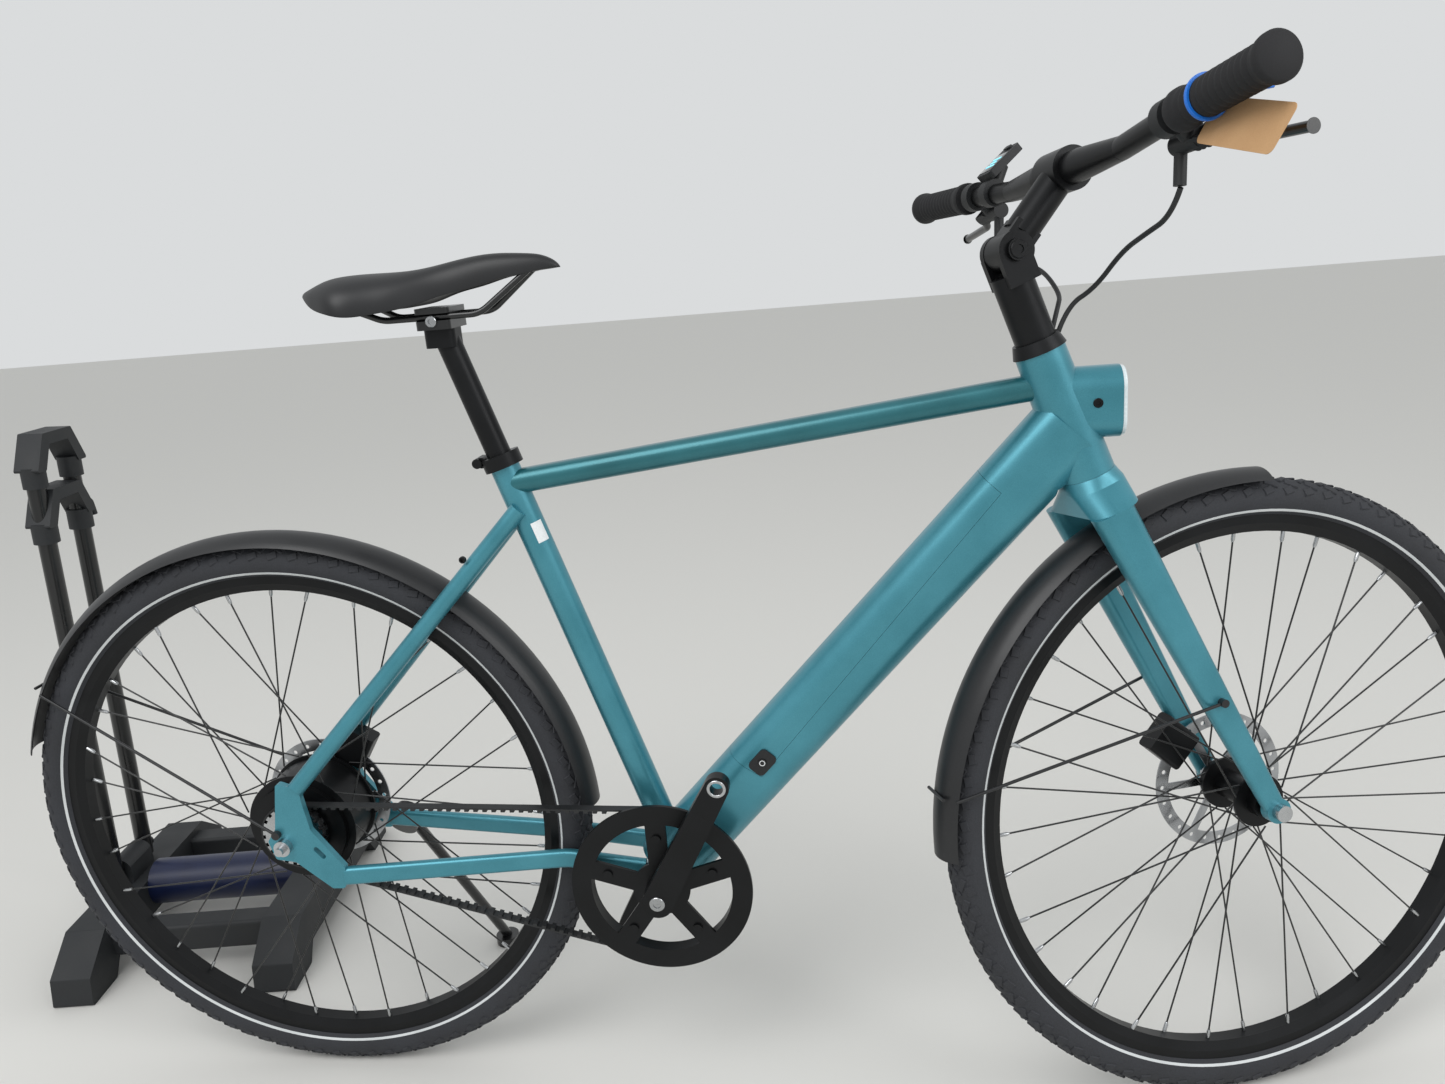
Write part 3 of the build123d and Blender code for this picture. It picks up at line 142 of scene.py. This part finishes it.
def start(name):
    """A new material's tree, its main shader and its object coordinates."""
    material = bpy.data.materials.new(name)
    material.use_nodes = True
    tree = material.node_tree
    tree.nodes.clear()
    shader = add(tree, "ShaderNodeBsdfPrincipled")
    add(tree, "ShaderNodeOutputMaterial", {"Surface": shader.outputs[0]})
    coords = add(tree, "ShaderNodeTexCoord").outputs["Object"]
    return material, tree, shader, coords


def ramp(tree, factor, stops):
    """A colour ramp with the given (place, hex colour) stops."""
    node = add(tree, "ShaderNodeValToRGB", {"Fac": factor})
    while len(node.color_ramp.elements) < len(stops):
        node.color_ramp.elements.new(0.5)
    for element, (place, code) in zip(node.color_ramp.elements, stops):
        element.position = place
        element.color = linear(code)
    return node.outputs["Color"]


def grain(tree, coords, size_mm, detail=2.0, stretch=(1, 1, 1)):
    """Noise whose lumps are about this big, in millimetres."""
    scaled = add(tree, "ShaderNodeMapping", {"Vector": coords, "Scale": stretch})
    return add(tree, "ShaderNodeTexNoise", {"Vector": scaled.outputs[0], "Scale": 1000 / size_mm,
                                            "Detail": detail}).outputs[0]


def bump(tree, shader, height, depth_mm, strength=1.0):
    """Raises the surface by up to depth_mm where height is 1."""
    node = add(tree, "ShaderNodeBump", {"Height": height, "Distance": depth_mm * MM, "Strength": strength})
    tree.links.new(node.outputs[0], shader.inputs["Normal"])


def finish(name, dark, light, rough, lump_mm, bump_mm, metal=0.0, coat=0.0, coat_rough=0.2,
           stretch=(1, 1, 1)):
    """A finish with two close colours in soft patches, and a fine bump."""
    material, tree, shader, coords = start(name)
    fine = grain(tree, coords, lump_mm, 3, stretch)
    patches = grain(tree, coords, 60, 3)
    mixed = add(tree, "ShaderNodeMath", {0: fine, 1: patches}, operation="ADD").outputs[0]
    half = add(tree, "ShaderNodeMath", {0: mixed, 1: 0.5}, operation="MULTIPLY").outputs[0]
    tree.links.new(ramp(tree, half, [(0.35, dark), (0.65, light)]), shader.inputs["Base Color"])
    low, high = rough
    spread = add(tree, "ShaderNodeMapRange", {"Value": patches, "From Min": 0.3, "From Max": 0.7,
                                              "To Min": low, "To Max": high})
    tree.links.new(spread.outputs[0], shader.inputs["Roughness"])
    shader.inputs["Metallic"].default_value = metal
    shader.inputs["Coat Weight"].default_value = coat
    shader.inputs["Coat Roughness"].default_value = coat_rough
    bump(tree, shader, fine, bump_mm)
    return material


# %% [markdown]
# The frame is aluminium under a satin metallic lacquer: tiny flakes in a teal base, below a
# thin clear coat. The flakes give the broad soft highlight, so the base is part metallic.
# The top tube is the same lacquer in a deeper tone.

# %% Lacquers
satin_teal = finish("satin_teal_lacquer", "#38808f", "#4a93a3",
                    (0.30, 0.38), 0.8, 0.01, 0.5, 0.3, 0.3)
deep_teal = finish("deep_teal_lacquer", "#1f6068", "#2b727b",
                   (0.28, 0.36), 0.8, 0.01, 0.5, 0.35, 0.25)

# %% [markdown]
# Black on a bicycle is never one black. Anodised aluminium has a soft metallic sheen, moulded
# nylon is dull with a fine spark-eroded grain, mudguards are a smooth satin plastic, and grips
# are dusty rubber.

# %% Black finishes
black_anodised = finish("black_anodised_aluminium", "#111213", "#1a1b1d",
                        (0.34, 0.44), 0.5, 0.008, 0.6)
black_lacquer = finish("black_lacquered_steel", "#0e0f10", "#151617",
                       (0.25, 0.35), 0.7, 0.006, 0.2, 0.4, 0.2)
black_nylon = finish("moulded_black_nylon", "#131416", "#1b1d1f", (0.5, 0.62), 0.9, 0.05)
stand_nylon = finish("glass_filled_nylon", "#191b1d", "#232629", (0.52, 0.68), 1.2, 0.09)
satin_guard = finish("satin_polycarbonate", "#17181a", "#1e1f21", (0.36, 0.44), 2.0, 0.01)
belt_rubber = finish("belt_polyurethane", "#161718", "#202224", (0.5, 0.62), 1.0, 0.04)
navy_nylon = finish("navy_roller_nylon", "#0c1330", "#142043", (0.3, 0.42), 1.4, 0.03)
silver_steel = finish("turned_stainless_steel", "#9b9d9f", "#c6c8ca", (0.2, 0.32), 0.6, 0.006, 1.0)
disc_steel = finish("ground_disc_steel", "#8f9194", "#bfc1c4",
                    (0.24, 0.4), 0.5, 0.01, 1.0, stretch=(1, 1, 6))
kraft_paper = finish("kraft_paper", "#b98f63", "#cfa87c", (0.8, 0.92), 0.8, 0.05, stretch=(1, 3, 1))
blue_nylon = finish("blue_cable_tie_nylon", "#1463c4", "#1f78dd", (0.35, 0.45), 1.5, 0.01)
white_vinyl = finish("white_vinyl_label", "#dfe3e4", "#eef1f2", (0.35, 0.5), 2.0, 0.005)

# %% [markdown]
# The lamp's window is clear acrylic over a pale reflector: bright, glossy and faintly bluish.

# %% Lamp window
lamp_acrylic = finish("lamp_acrylic", "#cfdadd", "#e6eef0",
                      (0.06, 0.12), 3.0, 0.002, 0.0, 0.8, 0.05)

# %% Assign finishes to the CAD pieces


def wear(names, material):
    """Gives CAD nodes a finish."""
    for name in names.split():
        slots = nodes[name].data.materials
        slots.clear()
        slots.append(material)


wear("head_tube down_tube seat_tube bottom_bracket_shell chain_stays seat_stays dropouts "
     "fork_crown fork_blades battery_cover", satin_teal)
wear("top_tube", deep_teal)
wear("front_rim rear_rim hub_motor front_hub cranks belt_ring seatpost handlebar stem_arm stem_base "
     "headset_cap seat_clamp front_caliper rear_caliper", black_anodised)
wear("front_spokes rear_spokes brake_lever_left brake_lever_right prop_leg prop_bracket stand_hoop "
     "saddle_rails saddle_clamp", black_lacquer)
wear("latch_plate power_button battery_pack lever_mounts display display_button grips", black_nylon)
wear("stand_base stand_handle stand_clamp", stand_nylon)
wear("front_mudguard rear_mudguard", satin_guard)
wear("drive_belt front_tyre rear_tyre brake_hoses saddle", belt_rubber)
wear("stand_drum", navy_nylon)
wear("front_axle rear_axle rear_sprocket frame_bearings", silver_steel)
wear("front_disc rear_disc", disc_steel)
wear("hang_tag", kraft_paper)
wear("headlight_lens", lamp_acrylic)
bare = [name for name, node in nodes.items() if not node.data.materials]
print("nodes with no finish", bare)

# %% [markdown]
# Most small pieces on a bicycle were turned on a lathe: bolts, rings, nipples, even the tyre
# is a section swept round an axle. So one helper spins a closed outline about Z. Others copy
# a piece to many places and give a finished piece its name, body and finish.

# %% Modelling helpers


def select_only(piece):
    """Deselects everything else, since an operator acts on all that is selected."""
    bpy.ops.object.select_all(action="DESELECT")
    piece.select_set(True)
    bpy.context.view_layer.objects.active = piece


def turned(outline, steps=32):
    """A round piece about Z from a closed outline of (radius, height) in millimetres."""
    bpy.ops.object.select_all(action="DESELECT")
    bpy.ops.mesh.primitive_circle_add(vertices=len(outline), radius=1, fill_type="NOTHING")
    piece = bpy.context.object
    for vertex, (radius, height) in zip(piece.data.vertices, outline):
        vertex.co = (radius * MM, 0, height * MM)
    bpy.ops.object.mode_set(mode="EDIT")
    bpy.ops.mesh.select_all(action="SELECT")
    bpy.ops.mesh.spin(steps=steps, angle=2 * pi, center=(0, 0, 0), axis=(0, 0, 1))
    bpy.ops.mesh.remove_doubles(threshold=1e-6)
    bpy.ops.mesh.normals_make_consistent(inside=False)
    bpy.ops.object.mode_set(mode="OBJECT")
    return piece


def plate(length, width, height, round_by=1.0):
    """A thin block about its own middle with rounded edges, in millimetres."""
    bpy.ops.object.select_all(action="DESELECT")
    bpy.ops.mesh.primitive_cube_add(size=1)
    piece = bpy.context.object
    piece.scale = (length * MM, width * MM, height * MM)
    bpy.ops.object.transform_apply(location=False, rotation=False, scale=True)
    edge = piece.modifiers.new("edge", "BEVEL")
    edge.width = round_by * MM
    edge.segments = 2
    bpy.ops.object.modifier_apply(modifier="edge")
    return piece


def joined(pieces):
    """Several pieces as one."""
    bpy.ops.object.select_all(action="DESELECT")
    for piece in pieces:
        piece.select_set(True)
    bpy.context.view_layer.objects.active = pieces[0]
    if len(pieces) > 1:
        bpy.ops.object.join()
    return pieces[0]


def repeated(piece, places):
    """One mesh of a piece copied to several places, each given as a matrix."""
    made = []
    for place in places:
        copy = bpy.data.objects.new(piece.name, piece.data.copy())
        copy.data.transform(place)
        bpy.context.scene.collection.objects.link(copy)
        made.append(copy)
    bpy.data.objects.remove(piece)
    return joined(made)


def aim(place, direction):
    """A matrix that stands a piece made about Z at a place, pointing in a direction."""
    turn = Vector(direction).to_track_quat("Z", "Y").to_matrix().to_4x4()
    return Matrix.Translation(place) @ turn


def done(piece, name, body, material, smooth=35):
    """Names a finished piece, gives its finish and lets it ride on its body."""
    select_only(piece)
    bpy.ops.object.shade_smooth_by_angle(angle=radians(smooth))
    piece.name = name
    piece.data.name = name
    piece.data.materials.clear()
    piece.data.materials.append(material)
    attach(piece, body)
    print(name, len(piece.data.polygons), "faces")
    return piece


# %% [markdown]
# The hoses run from the lever boots, hang in front of the stem and enter the headset collar.
# Each is a smooth spline through its route. Bars tilt on the stem; the hose is made a plain
# mesh tube that runs between the bars and the fork.

# %% Hoses
hose_r = 2.5
for side, word in ((-1, "right"), (1, "left")):
    route = [(933.7, side * 174, 995.7), (933.7, side * 160, 974.2), (933.7, side * 119, 964.2),
             (935.7, side * 78, 954.2), (931.7, side * 34, 924.2), (914.9, side * 10, 910.2),
             (904.9, side * 7, 884.2)]
    line = bpy.data.curves.new("hose_" + word, "CURVE")
    line.dimensions = "3D"
    line.resolution_u = 16
    spline = line.splines.new("NURBS")
    spline.points.add(len(route) - 1)
    for point, place in zip(spline.points, route):
        point.co = (*steered(*place), 1)
    spline.order_u = 3
    spline.use_endpoint_u = True
    hose = bpy.data.objects.new("hose_" + word, line)
    bpy.context.scene.collection.objects.link(hose)
    path = [v.co.copy() for v in bpy.data.meshes.new_from_object(hose).vertices]
    line.bevel_depth = hose_r * MM
    line.bevel_resolution = 4
    line.use_fill_caps = True
    select_only(hose)
    bpy.ops.object.convert(target="MESH")
    hose = bpy.context.object
    hose.name = "hose_" + word
    bpy.ops.object.shade_smooth()
    hose.data.materials.clear()
    hose.data.materials.append(belt_rubber)
    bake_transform(hose)
    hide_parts("brake_hoses")

# %% [markdown]
# A tyre is a thick section swept round the axle, with rubber blocks standing on it. The
# blocks are one small tapered brick, copied in six slanted rows. A thin reflective band runs
# round each side wall.

# %% Tyre section and its band
tyre_rubber = finish("tyre_rubber", "#25262a", "#33353a", (0.72, 0.85), 1.4, 0.05)
reflective = finish("reflective_band", "#c3c7c8", "#d9dcdd", (0.3, 0.42), 0.6, 0.01)
section_at = 333.5                             # the middle of the tyre's section
section_r = 21.2
bead_angle = 141                               # where the section meets the rim's edge


def on_section(radius, degrees_round):
    """A (radius, height) point of the tyre's section."""
    angle = radians(degrees_round)
    return section_at + radius * cos(angle), radius * sin(angle)


def carcass():
    """The tyre's smooth body, about Z."""
    return turned([on_section(section_r, bead_angle * (k / 12 - 1)) for k in range(25)], 144)


def bands():
    """The reflective bands, about Z."""
    made = []
    for side in (-1, 1):
        made.append(turned([on_section(radius, side * place) for radius, place in
                            ((21.1, 119), (21.6, 119), (21.6, 127), (21.1, 127))], 144))
    return joined(made)


# %% Tread blocks
# rows: degrees round the section, slant, share of a pitch, length and width in millimetres
tread_rows = ((-13, 32, 0.0, 19, 7), (13, -32, 0.5, 19, 7), (-38, -25, 0.25, 16, 8),
              (38, 25, 0.75, 16, 8), (-62, 20, 0.0, 12, 9), (62, -20, 0.5, 12, 9))
tread_pitches = 88
tread_height = 1.6
tread_at = 21.5                                # the blocks' middle, from the section's middle


def tread():
    """All the tread blocks, about Z."""
    bpy.ops.object.select_all(action="DESELECT")
    bpy.ops.mesh.primitive_cube_add(size=1)
    block = bpy.context.object
    for vertex in block.data.vertices:
        if vertex.co.x > 0:
            vertex.co.y *= 0.86
            vertex.co.z *= 0.8
    places = []
    for step in range(tread_pitches):
        for place, slant, shift, length, width in tread_rows:
            round_wheel = Matrix.Rotation(2 * pi * (step + shift) / tread_pitches, 4, "Z")
            out, along = on_section(tread_at, place)
            lean_out = Matrix.Rotation(radians(-place), 4, "Y")
            stand = Matrix.Translation((out * MM, 0, along * MM)) @ lean_out
            size = Matrix.Diagonal((tread_height * MM, length * MM, width * MM, 1))
            places.append(round_wheel @ stand @ Matrix.Rotation(radians(slant), 4, "X") @ size)
    return repeated(block, places)


# %% [markdown]
# Each spoke ends in a bright nipple at the rim. The spokes cross the wheel in turn, so the
# nipples are placed with the same rule as the spokes.

# %% Nipples, disc bolts and both wheels
spoke_count = 36
spoke_lean = 42
rim_inner_r = 297.7
across_wheel = aim((0, 0, 0), (0, 1, 0))       # from about Z to about the wheel's own axle


def nipple_places(hub_r):
    """Where each nipple stands, pointing along its spoke to the hub."""
    places = []
    for index in range(spoke_count):
        side = 1 if index % 2 else -1
        lean = spoke_lean if index % 4 < 2 else -spoke_lean
        weave = 3 if lean > 0 else 0
        at_rim = radians(index * 360 / spoke_count)
        at_hub = at_rim + radians(lean)
        rim_end = Vector((rim_inner_r * cos(at_rim), side * (3 + weave),
                          rim_inner_r * sin(at_rim))) * MM
        hub_end = Vector((hub_r * cos(at_hub), side * (28 + weave), hub_r * sin(at_hub))) * MM
        places.append(aim(rim_end, hub_end - rim_end))
    return places


disc_bolt_circle_r = 20.5
for word, hub_r, disc_y, at in (("front", 31, 42.8, front_wheel_at),
                                ("rear", 69, 47.8, rear_wheel_at)):
    body = word + "_wheel"
    parts = ((carcass(), "tyre_body", tyre_rubber, "tyre"),
             (tread(), "tyre_tread", tyre_rubber, "tyre"),
             (bands(), "tyre_bands", reflective, "tyre"))
    for piece, part_name, material, slot in parts:
        piece.data.transform(at @ across_wheel)
        done(piece, f"{word}_{part_name}", body, material)
        if part_name == "tyre_body":
            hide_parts(word + "_tyre")
    nipple = turned([(0, 0), (2.2, 0), (2.2, 9), (1.4, 12), (0, 12)], 10)
    nipples = repeated(nipple, nipple_places(hub_r))
    nipples.data.transform(at)
    done(nipples, f"{word}_nipples", body, silver_steel)
    disc_bolt = turned([(0, -1), (3.6, -1), (3.6, 1.6), (3.0, 2.2), (1.7, 2.2), (1.7, 0.8),
                        (0, 0.8)], 16)
    bolt_turns = [radians(60 * k + 30) for k in range(6)]
    ring_of_bolts = repeated(disc_bolt, [
        Matrix.Translation((disc_bolt_circle_r * MM * cos(turn), disc_y * MM,
                            disc_bolt_circle_r * MM * sin(turn)))
        @ across_wheel for turn in bolt_turns])
    ring_of_bolts.data.transform(at)
    done(ring_of_bolts, f"{word}_disc_bolts", body, silver_steel)

# %% [markdown]
# The saddle is moulded foam under a smooth cover: broad wings that droop at the sides, a
# slight dip, and a narrow raised nose. A ball is the start. Every point is moved to the
# saddle's own height and width at its place along it, which gives a closed crowned shell.

# %% Saddle
saddle_skin = finish("saddle_synthetic_leather", "#101113", "#17181b", (0.42, 0.5), 0.9, 0.04)


def between(stops, place):
    """A value read smoothly between (place, value) stops."""
    for (x0, v0), (x1, v1) in zip(stops, stops[1:]):
        if place <= x1:
            share = max(0.0, (place - x0) / (x1 - x0))
            return v0 + (v1 - v0) * share * share * (3 - 2 * share)
    return stops[-1][1]


tail_x, nose_x = 111, 399
crown = [(111, 991), (150, 1004), (230, 1000), (330, 1012), (375, 1011), (399, 1002)]
skirt = [(111, 984), (150, 965), (185, 956), (230, 960), (290, 974), (350, 986), (399, 993)]
half_width = [(111, 46), (135, 66), (170, 78), (215, 56), (280, 28), (340, 20), (399, 17)]
bpy.ops.object.select_all(action="DESELECT")
bpy.ops.mesh.primitive_uv_sphere_add(segments=64, ring_count=40, radius=1, rotation=(0, pi / 2, 0))
saddle = bpy.context.object
bpy.ops.object.transform_apply(location=False, rotation=True, scale=False)
for vertex in saddle.data.vertices:
    along, across, high = vertex.co
    end_round = max(0.0, 1 - abs(along) ** 3) ** 0.5
    ring = max(1e-6, (across * across + high * high) ** 0.5)
    across, high = across / ring, high / ring
    x = tail_x + (nose_x - tail_x) * (along + 1) / 2
    full = 1 if ring > 1e-3 else 0
    wide = between(half_width, x) * end_round * full
    rise, fall = between(crown, x), between(skirt, x)
    if high >= 0:
        z = fall + (rise - fall) * high ** 0.75 * end_round ** 0.5
    else:
        z = fall + (rise - fall - 22) * max(0, -high) * end_round * 0.6
    if end_round < 0.35:
        z = z + (rise - 12 - z) * (1 - end_round / 0.35)
    vertex.co = bike(x, wide * (abs(across) ** 0.8) * (1 if across >= 0 else -1), z)
select_only(saddle)
bpy.ops.object.mode_set(mode="EDIT")
bpy.ops.mesh.select_all(action="SELECT")
bpy.ops.mesh.remove_doubles(threshold=1e-5)
bpy.ops.mesh.vertices_smooth(factor=0.5, repeat=4)
bpy.ops.mesh.normals_make_consistent(inside=False)
bpy.ops.object.mode_set(mode="OBJECT")
soften = saddle.modifiers.new("soften", "SUBSURF")
soften.levels = 1
soften.render_levels = 1
bpy.ops.object.modifier_apply(modifier="soften")
done(saddle, "padded_saddle", "seat", saddle_skin, 80)
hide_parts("saddle")

# %% [markdown]
# The grips are soft rubber sleeves with a collar at each end and shallow ribs for the palm.

# %% Grips
grip_rubber = finish("grip_rubber", "#121214", "#1b1b1e", (0.7, 0.82), 0.8, 0.06)
ribs = [(16.6 if k % 4 < 2 else 15.3, 14 + 2 * k) for k in range(50)]
sleeve = turned([(11.3, 0), (17.6, 0), (18.2, 2), (18.2, 8), (17, 10)] + ribs
                + [(18.6, 116), (19, 118), (19, 122), (17, 124.2), (0, 124.2), (0, 121.5), (11.3, 121.5)], 40)
grip_ends = [(steered(913.8, s * 207, 1051.6), steered(908.0, s * 331, 1059.9)) for s in (-1, 1)]
sleeves = repeated(sleeve, [aim(inner, outer - inner) for inner, outer in grip_ends])
done(sleeves, "rubber_grips", "bars", grip_rubber, 50)
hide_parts("grips")

# %% [markdown]
# Socket-headed bolts are everywhere on a bicycle. One shape at several sizes serves them all.

# %% Bolts and inserts


def socket_bolt(radius, height):
    """A bolt's head with a round socket, standing on Z = 0 and sunk a little below it."""
    socket = radius * 0.5
    return turned([(0, -1), (radius, -1), (radius, height - 0.6), (radius - 0.6, height), (socket, height),
                   (socket, height * 0.3), (0, height * 0.3)], 24)


right_side = Vector((0, -1, 0))
steered_right = turn_fork.to_3x3() @ right_side
bolt_sets = {
    "frame_bolts": ("frame", "black_metal", black_anodised, [
        (bike(61, -69, 465), right_side, 4, 2.0), (bike(46, -71, 448), right_side, 4, 2.0),
        (bike(256, -32, 686), right_side, 4, 2.5), (bike(941, -22.8, 814), right_side, 5, 1.5)]),
    "seat_bolts": ("seat", "steel", silver_steel, [
        (bike(260.6, -29, 947), right_side, 6, 3), (bike(260.6, 29, 947), -right_side, 6, 3)]),
    "stem_bolts": ("bars", "steel", black_anodised,
                   [(steered(856.6, -26.4, 968), steered_right, 9, 1.5)]),
    "crank_bolts": ("cranks", "black_metal", silver_steel, [
        (bike(445, -88, 282), right_side, 9, 1.5), (bike(445, 88, 282), -right_side, 9, 1.5)]),
}
for name, (body, slot, material, heads) in bolt_sets.items():
    made = []
    for place, direction, radius, height in heads:
        head = socket_bolt(radius, height)
        head.data.transform(aim(place, direction))
        made.append(head)
    done(joined(made), name, body, material)

tie = turned([(16.55, 0), (18.5, 0), (18.9, 1), (18.9, 3), (18.5, 4), (16.55, 4)], 40)
tie_tail = plate(3.4, 1.2, 34, 0.4)
tie_tail.data.transform(Matrix.Translation((19.5 * MM, 0, 2 * MM))
                        @ Matrix.Rotation(radians(65), 4, "Y")
                        @ Matrix.Translation((0, 0, 15 * MM)))
tie = joined([tie, tie_tail])
tie.data.transform(aim(steered(912.3, -240, 1053.8), grip_ends[0][1] - grip_ends[0][0]))
done(tie, "tag_tie", "bars", blue_nylon)

insert = turned([(7.3, -2), (10.6, -2), (10.6, 0.5), (10, 1), (7.6, 1), (7.3, 0.7)], 32)
inserts = repeated(insert, [aim(bike(525.5, -88, 426), right_side),
                            aim(bike(364.5, 88, 138), -right_side)])
done(inserts, "pedal_inserts", "cranks", silver_steel)

# %% [markdown]
# The display is a small black glass with a pale readout. The bars are plain blocks of light.

# %% Display
black_glass = finish("display_glass", "#050708", "#0b0e10", (0.05, 0.1), 4.0, 0.001, 0, 0.6, 0.05)
readout, tree, shader, coords = start("display_readout")
shader.inputs["Base Color"].default_value = linear("#7bd3ea")
shader.inputs["Emission Color"].default_value = linear("#7bd3ea")
shader.inputs["Emission Strength"].default_value = 1.1
screen_out = Vector((-0.64, 0, 0.77)).normalized()
across_screen = Vector((0, 1, 0))
screen_axes = Matrix((across_screen, screen_out.cross(across_screen), screen_out))
screen_axes = screen_axes.transposed().to_4x4()
screen_at = turn_fork @ Matrix.Translation(bike(932.5, 156, 1077.8)) @ screen_axes
glass = plate(30, 30, 1.0, 0.4)
glass.data.transform(screen_at @ Matrix.Translation((0, 5 * MM, 9.2 * MM)))
done(glass, "display_glass_plate", "bars", black_glass)
segments = [plate(width, 2.6, 0.3, 0.1) for width in (20, 15, 20)]
for row, segment in enumerate(segments):
    segment.data.transform(screen_at @ Matrix.Translation((0, (5 + 6 * (row - 1)) * MM, 9.9 * MM)))
done(joined(segments), "display_readout_bars", "bars", readout)

# %% [markdown]
# A blank label on the seat tube wraps a little way round it. Its rings on the power button
# mark it as a button.

# %% Label and button ring
label_r, label_half = 16.75, 12
seat_up = Vector((-cos(radians(73)), 0, sin(radians(73))))
label_out = Vector((0.7, -0.7, 0))
label_out = (label_out - seat_up * label_out.dot(seat_up)).normalized()
label_axes = Matrix((label_out, seat_up.cross(label_out), seat_up)).transposed().to_4x4()
bpy.ops.object.select_all(action="DESELECT")
bpy.ops.mesh.primitive_grid_add(x_subdivisions=12, y_subdivisions=6, size=2)
label = bpy.context.object
for vertex in label.data.vertices:
    angle = vertex.co.x * 0.42
    vertex.co = Vector((label_r * cos(angle), label_r * sin(angle), label_half * vertex.co.y)) * MM
thick = label.modifiers.new("thick", "SOLIDIFY")
thick.thickness = 0.15 * MM
bpy.ops.object.modifier_apply(modifier="thick")
label.data.transform(Matrix.Translation(bike(331.6, 0, 705.6)) @ label_axes)
done(label, "blank_label", "frame", white_vinyl)

low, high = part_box("power_button")
button_face = Vector(((low.x + high.x) / 2, low.y, (low.z + high.z) / 2))
ring = turned([(2.6, -0.2), (3.4, -0.2), (3.4, 0.15), (2.6, 0.15)], 24)
ring.data.transform(aim(button_face, right_side))
done(ring, "button_ring", "power_button", white_vinyl)

# %% [markdown]
# The studio is a pale floor, a pale sky for fill, and two large soft lights.

# %% Studio
bpy.ops.mesh.primitive_plane_add(size=30, location=(0, 0, 0))
floor = bpy.context.object
floor.name = "studio_floor"
floor_paint, tree, shader, coords = start("pale_studio_floor")
shader.inputs["Base Color"].default_value = linear("#d6d5d1")
shader.inputs["Roughness"].default_value = 0.85
floor.data.materials.append(floor_paint)

world = bpy.data.worlds.new("pale_sky")
bpy.context.scene.world = world
world.use_nodes = True
world.node_tree.nodes["Background"].inputs["Color"].default_value = linear("#dfe1e2")
world.node_tree.nodes["Background"].inputs["Strength"].default_value = 0.95


def soft_light(name, place, target, size, power):
    """A square area light that faces a point."""
    data = bpy.data.lights.new(name, "AREA")
    data.size = size
    data.energy = power
    light = bpy.data.objects.new(name, data)
    bpy.context.scene.collection.objects.link(light)
    light.location = place
    light.rotation_euler = (Vector(target) - Vector(place)).to_track_quat("-Z", "Y").to_euler()


soft_light("key_light", (-1.2, -2.2, 3.4), (0, 0, 0.5), 2.2, 62)
soft_light("fill_light", (2.4, -1.4, 2.2), (0.2, 0, 0.6), 1.6, 26)
